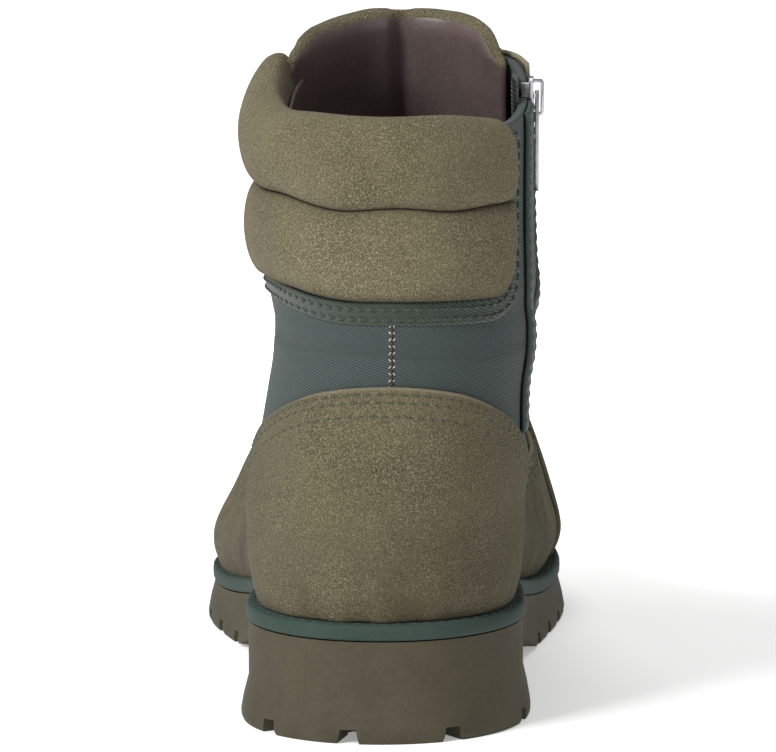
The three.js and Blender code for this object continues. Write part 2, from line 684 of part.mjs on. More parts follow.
const crownPrism = frontPrism(crownOutline(), zipLine - crownWidth / 2, zipLine + crownWidth / 2);
const slider = sliderPlate.add(sliderWedge).add(crownPrism);

// Pull: a thin tab whose top bar turns under the crown
const windowEnd = 7.5;
function pullOutline() {
  const half = pullWidth / 2;
  const shape = new THREE.Shape();
  shape.moveTo(-half + 1, pinRadius);
  shape.lineTo(half - 1, pinRadius);
  shape.lineTo(half, -1);
  shape.lineTo(half, -pullLength + half);
  shape.absarc(0, -pullLength + half, half, 0, Math.PI, true);
  shape.lineTo(-half, -1);
  const window = new THREE.Path();
  window.moveTo(-pullWindow / 2, -pinRadius);
  window.lineTo(-pullWindow / 2, -windowEnd);
  window.lineTo(pullWindow / 2, -windowEnd);
  window.lineTo(pullWindow / 2, -pinRadius);
  const eye = new THREE.Path();
  eye.absarc(0, -pullLength + half, 1.3, 0, 2 * Math.PI, false);
  shape.holes.push(window, eye);
  return shape;
}
const pullPrism = sidePrism(pullOutline(), -pullThickness / 2, pullThickness / 2);

// Eyelets and hooks
const laceSeat = fitGap + overlayThickness;
function eyeletRing() {
  const profile = [
    [eyeletBore, 0], [eyeletRadius, 0], [0.85 * eyeletRadius, eyeletHeight], [eyeletBore, eyeletHeight],
    [eyeletBore, 0],
  ].map(([r, h]) => new THREE.Vector2(r, h));
  return new THREE.LatheGeometry(profile, 8).rotateX(Math.PI / 2);
}
function hookShape() {
  const hookHeight = 4.6;
  const shape = new THREE.Shape();
  shape.moveTo(-4, 0);
  shape.lineTo(4, 0);
  shape.lineTo(4, 1);
  shape.lineTo(-2.2, 1);
  shape.absarc(-2.2, hookHeight / 2 + 0.4, hookHeight / 2 - 0.6, -Math.PI / 2, Math.PI / 2, true);
  shape.lineTo(3, hookHeight - 0.2);
  shape.lineTo(3, hookHeight + 0.8);
  shape.lineTo(-2.2, hookHeight + 0.8);
  shape.absarc(-2.2, hookHeight / 2 + 0.4, hookHeight / 2 + 0.4, Math.PI / 2, 1.2 * Math.PI, false);
  const geometry = new THREE.ExtrudeGeometry(shape, { depth: 5, bevelEnabled: false, curveSegments: 4 });
  geometry.translate(0, 0, -2.5);
  geometry.rotateX(Math.PI / 2);
  return geometry;
}

// Laces: crossings on the skin above the eyestays, joined into one solid
const laceOffset = laceSeat + eyeletHeight + 7 * fitGap + laceRadius;
function laceSpan(from, to) {
  const startX = onLast(from.level, from.turn).x;
  const endX = onLast(to.level, to.turn).x;
  const points = [];
  const steps = 3;
  for (let i = 0; i <= steps; i += 1) {
    const t = i / steps;
    const level = mix(from.level, to.level, t);
    points.push(skin(level, frontTurn(level, mix(startX, endX, t)), laceOffset));
  }
  const section = new THREE.Shape();
  section.absellipse(0, 0, laceRadius, laceRadius, 0, 2 * Math.PI, false, 0);
  const path = new THREE.CatmullRomCurve3(points);
  return solid(new THREE.ExtrudeGeometry(section, {
    steps, bevelEnabled: false, extrudePath: path, curveSegments: 3,
  }));
}
const laceSpans = [laceSpan(lacePoint(0, -1), lacePoint(0, 1))];
for (let row = 0; row < eyeletRows - 1; row += 1) {
  laceSpans.push(laceSpan(lacePoint(row, -1), lacePoint(row + 1, 1)));
  laceSpans.push(laceSpan(lacePoint(row, 1), lacePoint(row + 1, -1)));
}
const lace = laceSpans.reduce((all, next) => all.add(next));

// Materials
const finish = (color, roughness, metalness = 0) => new THREE.MeshStandardMaterial({ color, roughness, metalness });
const suede = 0x6e664e;
const canvas = 0x4a5450;
const liningLeather = 0x5a4b48;
const rubber = 0x4c4433;
const green = 0x3e544c;
const steel = 0xb9bbbd;
const gunmetal = 0x3a3a3c;
const black = 0x1c1c1e;

// Assembly: the origin lies on the floor under the middle of the heel tread
const treadCentre = 0.12 * lastLength;
const boot = new THREE.Group();
boot.position.set(0, -treadCentre, 0);
function place(name, geometry, material, position = [0, 0, 0]) {
  const mesh = new THREE.Mesh(geometry, material);
  mesh.name = name;
  mesh.position.set(...position);
  boot.add(mesh);
}
place('outsole', geometryOf(outsole), finish(rubber, 0.8));
place('rim', geometryOf(rim), finish(green, 0.75));
place('insole', geometryOf(insole), finish(liningLeather, 0.7));
place('upper', geometryOf(upper), finish(canvas, 0.9));
place('tongue', geometryOf(tongue), finish(liningLeather, 0.6));
place('heel_counter', geometryOf(counter), finish(suede, 0.95));
place('wing_lateral', geometryOf(wingLateral), finish(suede, 0.95));
place('wing_medial', geometryOf(wingMedial), finish(suede, 0.95));
place('toe_cap', geometryOf(toeCap), finish(suede, 0.95));
place('eyestay_lateral', geometryOf(eyestayLateral), finish(suede, 0.95));
place('eyestay_medial', geometryOf(eyestayMedial), finish(suede, 0.95));
place('collar', geometryOf(collar), finish(suede, 0.95));
place('zip', geometryOf(zip), finish(black, 0.6));
place('zip_guard_back', geometryOf(guardBack), finish(green, 0.7));
place('zip_guard_front', geometryOf(guardFront), finish(green, 0.7));
place('zip_slider', geometryOf(slider), finish(steel, 0.3, 1));
place('zip_pull', geometryOf(pullPrism), finish(steel, 0.3, 1), [pinX, zipLine, pinZ]);
const sideNames = ['lateral', 'medial'];
eyeletPoints.forEach((point, i) => {
  const ring = setOnSkin(eyeletRing(), point, laceSeat + 2 * fitGap);
  place(`eyelet_${sideNames[i % 2]}_${Math.floor(i / 2) + 1}`, geometryOf(solid(ring)), finish(gunmetal, 0.4, 1));
});
for (let row = eyeletRows; row < laceRows; row += 1) {
  sideNames.forEach((side, k) => {
    const hook = setOnSkin(hookShape(), lacePoint(row, k ? 1 : -1), laceSeat + 2 * fitGap);
    place(`hook_${side}_${row - eyeletRows + 1}`, geometryOf(solid(hook)), finish(gunmetal, 0.4, 1));
  });
}
place('lace', geometryOf(lace), finish(black, 0.8));

export default boot;
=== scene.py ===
import math

import bmesh
import bpy
import numpy as np
from mathutils import Matrix, Vector


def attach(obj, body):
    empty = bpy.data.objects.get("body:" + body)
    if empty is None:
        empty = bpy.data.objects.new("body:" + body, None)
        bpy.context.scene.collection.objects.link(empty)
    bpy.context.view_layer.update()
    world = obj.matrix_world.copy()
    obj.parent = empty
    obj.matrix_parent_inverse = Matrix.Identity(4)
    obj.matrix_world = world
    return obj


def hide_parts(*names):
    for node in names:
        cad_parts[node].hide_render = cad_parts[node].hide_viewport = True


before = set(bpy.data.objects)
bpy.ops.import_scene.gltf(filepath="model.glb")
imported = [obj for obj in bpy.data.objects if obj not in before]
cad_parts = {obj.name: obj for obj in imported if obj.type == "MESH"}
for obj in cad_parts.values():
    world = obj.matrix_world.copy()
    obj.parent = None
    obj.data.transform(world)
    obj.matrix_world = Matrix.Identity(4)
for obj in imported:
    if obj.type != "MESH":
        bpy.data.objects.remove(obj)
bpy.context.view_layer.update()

# Sizes of the boot in metres, the same ones that shape its solids
LAST_LENGTH = 0.289
HEEL_WIDTH = 0.070
BALL_WIDTH = 0.096
INSTEP_RISE = 0.095
SHAFT_RISE = 0.138
SHAFT_WIDTH = 0.077
HEEL_HEIGHT = 0.0334
BALL_HEIGHT = 0.0176
TOE_SPRING = 0.009
RIM_THICKNESS = 0.0046
RIM_LEDGE = 0.0034
SOLE_FLARE = 0.0022
FLARE_HEIGHT = 0.012
ARCH_CLEAR = 0.011
LUG_DEPTH = 0.004
LUG_GAP = 0.0065
LUG_REACH = 0.013
WALL = 0.0023
OVERLAY = 0.0015
FIT_GAP = 0.0003
COLLAR_TOP = 0.1736
COLLAR_RISE = 0.017
COLLAR_CREASE = 0.146
COLLAR_BOTTOM = 0.1226
COLLAR_END = 0.0245
COLLAR_FRONT = 0.238 * LAST_LENGTH
COLLAR_CORNER = 0.009
COLLAR_CAP = 0.003
ROLL_BULGE = 0.0060
ROLL_SIDE = 0.5
CREASE_BULGE = 0.0008
COLLAR_INSIDE = 0.004
COUNTER_TOP = 0.100
COUNTER_SIDE = 0.076
COUNTER_REACH = 0.058
WING_RISE = 0.052
TOE_CAP_LINE = 0.77 * LAST_LENGTH
THROAT_BOTTOM = 0.097
THROAT_HALF = 0.013
EYESTAY_WIDTH = 0.021
EYESTAY_TAIL = 0.012
TONGUE_TOP = 0.202
TONGUE_HALF = 0.034
TONGUE_TIP_HALF = 0.022
TONGUE_THICKNESS = 0.005
TONGUE_TUCK = 0.009
ZIP_LINE = 0.050
ZIP_BOTTOM = 0.074
ZIP_SLOT = 0.0064
GUARD_WIDTH = 0.009
SLIDER_TOP = 0.183
SLIDER_LENGTH = 0.012
SLIDER_WIDTH = 0.0084
TREAD_CENTRE = 0.12 * LAST_LENGTH
THROAT_X = 0.068 * SHAFT_WIDTH
TONGUE_X = 0.04 * SHAFT_WIDTH
TONGUE_BACK = ZIP_LINE + 0.0115

# Sections of the last: the shares and columns of the boot's own table
STATIONS = np.array([0.15, 0.42, 0.72, 0.92])
COLUMNS = ("back", "front", "back_rise", "foot_rise", "leg_rise", "leg",
           "heel_x", "toe_x", "back_cap", "front_cap")
SECTIONS = [
    ((0.007, 0.99, -0.045, -0.06, 0, 0, 0, 0.10, 0.15, 0.27),
     (0.46, 0.51, 0.61, 0.53), (0.46, 0.39, 0.37, 0.37)),
    ((0, 1, 0.007, 0.01, 0, 0, 0, 0.10, 0.15, 0.27),
     (0.50, 0.55, 0.645, 0.55), (0.50, 0.43, 0.40, 0.39)),
    ((-0.007, 1.01, 0.07, 0.105, 0, 0, 0, 0.10, 0.155, 0.28),
     (0.53, 0.59, 0.665, 0.58), (0.53, 0.48, 0.43, 0.42)),
    ((-0.01, 1.01, 0.165, 0.25, 0, 0, 0, 0.10, 0.16, 0.30),
     (0.55, 0.575, 0.60, 0.56), (0.545, 0.465, 0.395, 0.405)),
    ((-0.008, 0.985, 0.27, 0.40, 0, 0.1, 0.01, 0.10, 0.17, 0.33),
     (0.54, 0.555, 0.545, 0.50), (0.54, 0.46, 0.365, 0.37)),
    ((-0.002, 0.925, 0.365, 0.53, 0, 0.2, 0.02, 0.10, 0.18, 0.36),
     (0.52, 0.525, 0.465, 0.42), (0.53, 0.455, 0.34, 0.335)),
    ((0.005, 0.81, 0.445, 0.66, 0, 0.45, 0.04, 0.085, 0.21, 0.40),
     (0.50, 0.495, 0.415, 0.38), (0.51, 0.455, 0.335, 0.325)),
    ((0.01, 0.69, 0.525, 0.81, 0, 0.7, 0.06, 0.08, 0.25, 0.44),
     (0.48, 0.50, 0.43, 0.38), (0.505, 0.485, 0.38, 0.36)),
    ((0.014, 0.575, 0.61, 1, 0, 0.9, 0.07, 0.07, 0.30, 0.47),
     (0.485, 0.50, 0.44, 0.40), (0.49, 0.48, 0.41, 0.39)),
    ((0.016, 0.475, 0.71, 1, 0.15, 1, 0.065, 0.065, 0.36, 0.50),
     (0.495, 0.50, 0.46, 0.42), (0.48, 0.478, 0.44, 0.41)),
    ((0.016, 0.405, 0.82, 1, 0.28, 1, 0.065, 0.065, 0.41, 0.50),
     (0.50, 0.50, 0.47, 0.43), (0.475, 0.475, 0.455, 0.42)),
    ((0.015, 0.37, 0.915, 1, 0.38, 1, 0.065, 0.065, 0.43, 0.50),
     (0.50, 0.50, 0.475, 0.435), (0.47, 0.472, 0.46, 0.43)),
    ((0.014, 0.35, 1, 1, 0.475, 1, 0.065, 0.065, 0.44, 0.50),
     (0.495, 0.495, 0.475, 0.435), (0.465, 0.467, 0.46, 0.43)),
    ((0.012, 0.33, 1.1, 1, 0.6, 1, 0.065, 0.065, 0.44, 0.50),
     (0.495, 0.495, 0.475, 0.435), (0.465, 0.467, 0.46, 0.43)),
]
TABLE = {name: np.array([row[0][k] for row in SECTIONS]) for k, name in enumerate(COLUMNS)}
LATERAL = np.array([row[1] for row in SECTIONS])
MEDIAL = np.array([row[2] for row in SECTIONS])
TOP_LEVEL = len(SECTIONS) - 1.0


# Camera: behind the heel and a little above it, with the angle and distance of the photo
FRAME_PIXELS = (776, 752)
FOCAL_PIXELS = 4720
SENSOR = 36.0
EYE = Vector((0.058, -TREAD_CENTRE - 1.295, 0.255))
AIM = Vector((0.0035, -TREAD_CENTRE, 0.1025))
camera_data = bpy.data.cameras.new("camera")
camera_data.sensor_width = SENSOR
camera_data.lens = FOCAL_PIXELS * SENSOR / FRAME_PIXELS[0]
camera = bpy.data.objects.new("camera", camera_data)
bpy.context.collection.objects.link(camera)
camera.location = EYE
camera.rotation_euler = (AIM - EYE).to_track_quat("-Z", "Y").to_euler()
bpy.context.scene.camera = camera


# Last

def mix(a, b, t):
    return a + (b - a) * t


def smooth(t):
    c = np.clip(t, 0, 1)
    return c * c * (3 - 2 * c)


def through(values, t):
    """A smooth curve through evenly spaced values (rows), read at the places t."""
    last = len(values) - 1
    i = np.clip(np.floor(t).astype(int), 0, last - 1)
    f = np.clip(t - i, 0, 1)
    column = np.arange(values.shape[1]) if values.ndim == 2 else None

    def at(k):
        k = np.clip(k, 0, last)
        return values[k] if column is None else values[k, column]

    a, b, c, d = at(i - 1), at(i), at(i + 1), at(i + 2)
    slope_b, slope_c = (c - a) / 2, (d - b) / 2
    f2, f3 = f * f, f * f * f
    return (b * (2 * f3 - 3 * f2 + 1) + slope_b * (f3 - 2 * f2 + f)
            + c * (3 * f2 - 2 * f3) + slope_c * (f3 - f2))


def feather(y):
    """Height of the line where the upper meets the sole."""
    seat_end, ball, spring_start = 0.2 * LAST_LENGTH, 0.67 * LAST_LENGTH, 0.72 * LAST_LENGTH
    drop = smooth((y - seat_end) / (ball - seat_end))
    spring = np.maximum(0, (y - spring_start) / (LAST_LENGTH - spring_start))
    return mix(HEEL_HEIGHT, BALL_HEIGHT, drop) + TOE_SPRING * spring ** 2


def topline(y):
    """Height of the collar's top edge."""
    return COLLAR_TOP + COLLAR_RISE * smooth((y - 0.06 * LAST_LENGTH) / (0.24 * LAST_LENGTH))


def side_halves(side, level, leg):
    units = [mix(size, SHAFT_WIDTH, leg) for size in (HEEL_WIDTH, HEEL_WIDTH, BALL_WIDTH, BALL_WIDTH)]
    return np.stack([unit * through(side[:, k], level) for k, unit in enumerate(units)])


def half_width(halves, share):
    k = np.clip(np.searchsorted(STATIONS[1:-1], share), 0, 2)
    place = k + (share - STATIONS[k]) / (STATIONS[k + 1] - STATIONS[k])
    return through(halves, np.clip(place, 0, 3))


def opening(t, power):
    return (1 - (1 - np.clip(t, 0, 1)) ** power) ** (1 / power)


def column_at(name, level):
    return through(TABLE[name], level)


def on_last(level, turn):
    """Points of the last, in the boot's frame: turn 0 is the heel back and pi the toe."""
    level, turn = np.broadcast_arrays(np.asarray(level, float), np.asarray(turn, float))
    shape = level.shape
    level, turn = level.reshape(-1), turn.reshape(-1)
    leg = column_at("leg", level)
    share = (1 - np.cos(turn)) / 2
    inner = np.sin(turn) >= 0
    medial = half_width(side_halves(MEDIAL, level, leg), share)
    lateral = half_width(side_halves(LATERAL, level, leg), share)
    back_end = opening(share / column_at("back_cap", level), 2.1)
    front_end = opening((1 - share) / column_at("front_cap", level), 2.2)
    half = np.where(inner, medial, -lateral) * (back_end * front_end)
    x = mix(column_at("heel_x", level), column_at("toe_x", level), share) * SHAFT_WIDTH + half
    y = mix(column_at("back", level), column_at("front", level), share) * LAST_LENGTH
    back_rise = column_at("back_rise", level) * SHAFT_RISE
    front_rise = column_at("foot_rise", level) * INSTEP_RISE + column_at("leg_rise", level) * SHAFT_RISE
    z = feather(y) + mix(back_rise, front_rise, share)
    return np.stack([x, y, z], -1).reshape(*shape, 3)


PROBE = 1e-3


def outwards(level, turn):
    low, high = np.clip(level - PROBE, 0, TOP_LEVEL), np.clip(level + PROBE, 0, TOP_LEVEL)
    upwards = on_last(high, turn) - on_last(low, turn)
    onwards = on_last(level, turn + PROBE) - on_last(level, turn - PROBE)
    normal = np.cross(onwards, upwards)
    return normal / np.maximum(np.linalg.norm(normal, axis=-1, keepdims=True), 1e-12)


def skin(level, turn, offset):
    level, turn = np.broadcast_arrays(np.asarray(level, float), np.asarray(turn, float))
    offset = np.broadcast_to(np.asarray(offset, float), level.shape)
    return on_last(level, turn) + outwards(level, turn) * offset[..., None]


def turn_at_y(level, y, side):
    """Turn where the section of this level passes y, on the inner side (1) or the outer side (-1)."""
    back, front = column_at("back", level) * LAST_LENGTH, column_at("front", level) * LAST_LENGTH
    return side * np.arccos(np.clip(1 - 2 * (y - back) / (front - back), -1, 1))


def turn_at_x(level, x):
    """Turn at the front of the section where it passes x."""
    level, x = np.broadcast_arrays(np.asarray(level, float), np.asarray(x, float))
    side = np.where(x > THROAT_X, 1.0, -1.0)
    low, high = np.full(level.shape, 0.5 * math.pi), np.full(level.shape, math.pi)
    for _ in range(30):
        middle = (low + high) / 2
        beyond = np.abs(on_last(level, side * middle)[..., 0] - THROAT_X) > np.abs(x - THROAT_X)
        low, high = np.where(beyond, middle, low), np.where(beyond, high, middle)
    return side * low


def level_where(turn_of, z):
    """Level where the line turn_of(level) reaches the height z, which may follow y."""
    low = np.zeros(np.shape(turn_of(np.float64(1.0))))
    high = low + TOP_LEVEL
    for _ in range(30):
        middle = (low + high) / 2
        point = on_last(middle, turn_of(middle))
        target = z(point[..., 1]) if callable(z) else z
        under = point[..., 2] < target
        low, high = np.where(under, middle, low), np.where(under, high, middle)
    return low


# Meshes

def new_piece(name, bm, material, body="boot", sharp=None):
    mesh = bpy.data.meshes.new(name)
    bm.to_mesh(mesh)
    bm.free()
    piece = bpy.data.objects.new(name, mesh)
    bpy.context.collection.objects.link(piece)
    mesh.materials.append(material)
    mesh.shade_smooth()
    if sharp is not None:
        mesh.set_sharp_from_angle(angle=math.radians(sharp))
    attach(piece, body)
    return piece


def arc_lengths(points, axis):
    """Distances run along one way of a grid of points, averaged over the other way."""
    steps = np.linalg.norm(np.diff(points, axis=axis), axis=-1).mean(axis=1 - axis)
    return np.concatenate([[0], np.cumsum(steps)])


def grid_piece(name, columns, rows, place, material, masks=None, flip=False, sharp=None):
    """A grid whose point (s, t), both from 0 to 1, goes to place(s, t). Its UV map is in metres."""
    bm = bmesh.new()
    bmesh.ops.create_grid(bm, x_segments=columns, y_segments=rows, size=0.5)
    bm.verts.ensure_lookup_table()
    s = np.linspace(0, 1, columns + 1)[None, :].repeat(rows + 1, 0)
    t = np.linspace(0, 1, rows + 1)[:, None].repeat(columns + 1, 1)
    points = place(s, t)
    across, up = arc_lengths(points, 1), arc_lengths(points, 0)
    layers = {key: bm.verts.layers.float.new(key) for key in (masks or {})}
    values = {key: make(s, t).reshape(-1) for key, make in (masks or {}).items()}
    for index, (vert, point) in enumerate(zip(bm.verts, points.reshape(-1, 3))):
        vert.co = point
        for key, layer in layers.items():
            vert[layer] = values[key][index]
    uv = bm.loops.layers.uv.new("UVMap")
    for face in bm.faces:
        for loop in face.loops:
            row, column = divmod(loop.vert.index, columns + 1)
            loop[uv].uv = (across[column], up[row])
    bmesh.ops.remove_doubles(bm, verts=bm.verts, dist=1e-6)
    if flip:
        bmesh.ops.reverse_faces(bm, faces=bm.faces)
    bmesh.ops.translate(bm, verts=bm.verts, vec=(0, -TREAD_CENTRE, 0))
    return new_piece(name, bm, material, sharp=sharp)


def thicken(piece, thickness):
    modifier = piece.modifiers.new("wall", "SOLIDIFY")
    modifier.thickness = thickness
    modifier.offset = -1
    modifier.use_even_offset = False
    return piece


def finished_copy(node, name, material, body, width):
    """A CAD piece with its edges rounded."""
    bm = bmesh.new()
    bm.from_mesh(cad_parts[node].data)
    bmesh.ops.remove_doubles(bm, verts=bm.verts, dist=1e-5)
    bmesh.ops.dissolve_limit(bm, angle_limit=math.radians(1), verts=bm.verts, edges=bm.edges)
    edges = [e for e in bm.edges if len(e.link_faces) == 2 and e.calc_face_angle(0) > math.radians(30)]
    bmesh.ops.bevel(bm, geom=edges, offset=width, offset_type="OFFSET", segments=2, profile=0.5,
                    affect="EDGES", clamp_overlap=True, material=-1)
    piece = new_piece(name, bm, material, body, sharp=40)
    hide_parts(node)
    return piece


# Materials

def add(tree, kind, sockets=None, **settings):
    """A shader node with its settings. A socket is given a value, or another node's output to read."""
    node = tree.nodes.new("ShaderNode" + kind)
    for key, value in settings.items():
        setattr(node, key, value)
    for key, value in (sockets or {}).items():
        if isinstance(value, bpy.types.NodeSocket):
            tree.links.new(value, node.inputs[key])
        else:
            node.inputs[key].default_value = value
    return node


def combine(tree, operation, first, second):
    return add(tree, "Math", {0: first, 1: second}, operation=operation, use_clamp=True).outputs[0]


def part(tree, mask, amount):
    return combine(tree, "MULTIPLY", mask, amount)


def spread(tree, value, low, high, out_low=0.0, out_high=1.0):
    sockets = {"Value": value, "From Min": low, "From Max": high, "To Min": out_low, "To Max": out_high}
    return add(tree, "MapRange", sockets).outputs["Result"]


def tint(tree, mask, first, second):
    first = first if isinstance(first, bpy.types.NodeSocket) else (*first, 1)
    second = second if isinstance(second, bpy.types.NodeSocket) else (*second, 1)
    return add(tree, "Mix", {0: mask, 6: first, 7: second}, data_type="RGBA").outputs[2]


def new_group(name, inputs, outputs):
    group = bpy.data.node_groups.new(name, "ShaderNodeTree")
    for label, value in inputs.items():
        socket = group.interface.new_socket(label, in_out="INPUT", socket_type="NodeSocketFloat")
        socket.default_value = value
    for label in outputs:
        group.interface.new_socket(label, in_out="OUTPUT", socket_type="NodeSocketFloat")
    return group, group.nodes.new("NodeGroupInput"), group.nodes.new("NodeGroupOutput")


def mottling_group():
    """Large clouds and small speckles over the whole surface."""
    scales = {"Cloud Scale": 25, "Speckle Scale": 1200}
    group, given, result = new_group("mottling", scales, ("Clouds", "Speckles"))
    place = add(group, "TexCoord").outputs["Object"]
    wide = {"Vector": place, "Scale": given.outputs[0], "Detail": 4, "Roughness": 0.6}
    fine = {"Vector": place, "Scale": given.outputs[1], "Detail": 2, "Roughness": 0.7}
    clouds, speckles = add(group, "TexNoise", wide), add(group, "TexNoise", fine)
    group.links.new(spread(group, clouds.outputs[0], 0.35, 0.68), result.inputs["Clouds"])
    group.links.new(spread(group, speckles.outputs[0], 0.36, 0.64), result.inputs["Speckles"])
    return group


def worn_edge_group():
    """A mask that is 1 at the cut edge of a panel and fades over a width in metres."""
    group, given, result = new_group("worn_edge", {"Width": 0.0012}, ("Edge",))
    distance = add(group, "Attribute", attribute_name="edge").outputs["Fac"]
    fade = add(group, "Math", {0: distance, 1: given.outputs[0]}, operation="DIVIDE").outputs[0]
    group.links.new(spread(group, fade, 0.2, 1.0, 1.0, 0.0), result.inputs["Edge"])
    return group


def dust_group():
    """Dust that lies low on the boot, in patches."""
    group, given, result = new_group("dust", {"Low": 0.0, "High": 0.06}, ("Dust",))
    place = add(group, "TexCoord").outputs["Object"]
    height = add(group, "SeparateXYZ", {0: place}).outputs[2]
    share = spread(group, height, given.outputs[0], given.outputs[1], 1.0, 0.0)
    noise = {"Vector": place, "Scale": 70, "Detail": 5, "Roughness": 0.65}
    patches = spread(group, add(group, "TexNoise", noise).outputs[0], 0.4, 0.62)
    group.links.new(combine(group, "MULTIPLY", share, patches), result.inputs["Dust"])
    return group


MOTTLING, WORN_EDGE, DUST = mottling_group(), worn_edge_group(), dust_group()


def use_group(tree, group, **values):
    node = tree.nodes.new("ShaderNodeGroup")
    node.node_tree = group
    for label, value in values.items():
        node.inputs[label.replace("_", " ")].default_value = value
    return node.outputs


def surface(name, roughness, metallic=0.0, specular=0.5, sheen=0.0, coat=0.0):
    material = bpy.data.materials.new(name)
    material.use_nodes = True
    shader = material.node_tree.nodes["Principled BSDF"]
    shader.inputs["Roughness"].default_value = roughness
    shader.inputs["Metallic"].default_value = metallic
    shader.inputs["Specular IOR Level"].default_value = specular
    shader.inputs["Sheen Weight"].default_value = sheen
    shader.inputs["Sheen Roughness"].default_value = 0.5
    shader.inputs["Coat Weight"].default_value = coat
    shader.inputs["Coat Roughness"].default_value = 0.3
    return material, material.node_tree, shader


def wear(tree, shader, color, height, distance, strength=1.0):
    tree.links.new(color, shader.inputs["Base Color"])
    bump = add(tree, "Bump", {"Height": height, "Distance": distance, "Strength": strength})
    tree.links.new(bump.outputs["Normal"], shader.inputs["Normal"])


def suede_material(name, shade=1.0):
    """Brushed suede: clouded, salt-and-pepper nap, paler at its raw edges and rubbed places, with painted
    shade in the collar's crease.
    """
    material, tree, shader = surface(name, 0.95, specular=0.1, sheen=0.06)
    mottling = use_group(tree, MOTTLING, Cloud_Scale=34, Speckle_Scale=2600)
    wide = use_group(tree, MOTTLING, Cloud_Scale=11, Speckle_Scale=700)
    tones = ((0.050, 0.043, 0.023), (0.118, 0.101, 0.058), (0.26, 0.228, 0.145), (0.185, 0.160, 0.096),
             (0.052, 0.044, 0.025))
    dark, middle, light, rubbed, deep = [tuple(shade * c for c in tone) for tone in tones]
    color = tint(tree, spread(tree, mottling[1], 0, 1, 0.0, 0.9), dark, middle)
    color = tint(tree, combine(tree, "POWER", mottling[1], 3.0), color, light)
    color = tint(tree, part(tree, mottling[0], 0.38), color, rubbed)
    color = tint(tree, part(tree, wide[0], 0.5), color, deep)
    edge = use_group(tree, WORN_EDGE, Width=0.0011)[0]
    color = tint(tree, part(tree, edge, 0.6), color, (0.30, 0.265, 0.18))
    dust = use_group(tree, DUST, Low=0.022, High=0.085)[0]
    color = tint(tree, part(tree, dust, 0.45), color, (0.036, 0.030, 0.018))
    height = combine(tree, "ADD", part(tree, mottling[1], 0.6), part(tree, wide[1], 0.4))
    # Painted shade: the collar's crease and the underside of its lower roll are darkened in the colour
    crease_shade = add(tree, "Attribute", attribute_name="crease_shade").outputs["Fac"]
    color = tint(tree, part(tree, crease_shade, 0.75), color, (0.026, 0.022, 0.013))
    wear(tree, shader, color, height, 0.00035, 0.8)
    return material


def canvas_material():
    """Fine diagonal ribs that cross a plain weave, in grey green."""
    material, tree, shader = surface("canvas", 0.85, specular=0.15, sheen=0.08)
    flat = add(tree, "UVMap").outputs["UV"]
    turned = add(tree, "Mapping", {"Vector": flat, "Rotation": (0, 0, math.radians(27))}).outputs[0]
    ribs = add(tree, "TexWave", {"Vector": turned, "Scale": 260, "Distortion": 0.35, "Detail": 1},
               bands_direction="Y").outputs["Fac"]
    yarns = add(tree, "TexWave", {"Vector": flat, "Scale": 520, "Distortion": 0.3},
                bands_direction="X").outputs["Fac"]
    mottling = use_group(tree, MOTTLING, Cloud_Scale=22, Speckle_Scale=900)
    weave = combine(tree, "ADD", part(tree, ribs, 0.7), part(tree, yarns, 0.3))
    color = tint(tree, weave, (0.014, 0.020, 0.019), (0.085, 0.108, 0.102))
    color = tint(tree, part(tree, mottling[1], 0.35), color, (0.045, 0.056, 0.052))
    color = tint(tree, part(tree, mottling[0], 0.3), color, (0.055, 0.068, 0.064))
    wear(tree, shader, color, weave, 0.0002, 0.9)
    return material


def grained_material(name, low, high, roughness, scale, depth, coat=0.0):
    """Leather or rubber: two close colours in clouds, with a pebbled grain."""
    material, tree, shader = surface(name, roughness, specular=0.35, coat=coat)
    mottling = use_group(tree, MOTTLING, Cloud_Scale=34, Speckle_Scale=scale)
    place = add(tree, "TexCoord").outputs["Object"]
    pebbles = add(tree, "TexVoronoi", {"Vector": place, "Scale": scale}, feature="SMOOTH_F1")
    color = tint(tree, mottling[0], low, high)
    color = tint(tree, part(tree, mottling[1], 0.22), color, tuple(1.5 * c for c in high))
    grain = combine(tree, "ADD", part(tree, pebbles.outputs["Distance"], 0.7), part(tree, mottling[1], 0.3))
    wear(tree, shader, color, grain, depth, 0.7)
    return material, tree, shader, color


def rubber_material(name, low, high, dusty):
    material, tree, shader, color = grained_material(name, low, high, 0.78, 650, 0.00018)
    dust = use_group(tree, DUST, Low=0.0, High=0.02)[0]
    color = tint(tree, part(tree, dust, 0.45), color, dusty)
    tree.links.new(color, shader.inputs["Base Color"])
    return material


def metal_material(name, low, high, roughness):
    material, tree, shader = surface(name, roughness, metallic=1.0)
    mottling = use_group(tree, MOTTLING, Cloud_Scale=160, Speckle_Scale=2500)
    color = tint(tree, mottling[0], low, high)
    rough = spread(tree, mottling[0], 0, 1, roughness, roughness + 0.14)
    tree.links.new(rough, shader.inputs["Roughness"])
    wear(tree, shader, color, mottling[1], 0.00003, 0.3)
    return material


def cord_material(name, low, high, pitch):
    """Twisted yarn: fine slanted bands."""
    material, tree, shader = surface(name, 0.85, specular=0.2, sheen=0.2)
    place = add(tree, "TexCoord").outputs["Object"]
    turned = add(tree, "Mapping", {"Vector": place, "Rotation": (0.6, 0.5, 0.7)}).outputs[0]
    bands = {"Vector": turned, "Scale": 0.314 / pitch, "Distortion": 1.2, "Detail": 1}
    twist = add(tree, "TexWave", bands).outputs["Fac"]
    wear(tree, shader, tint(tree, twist, low, high), twist, 0.0002, 0.8)
    return material


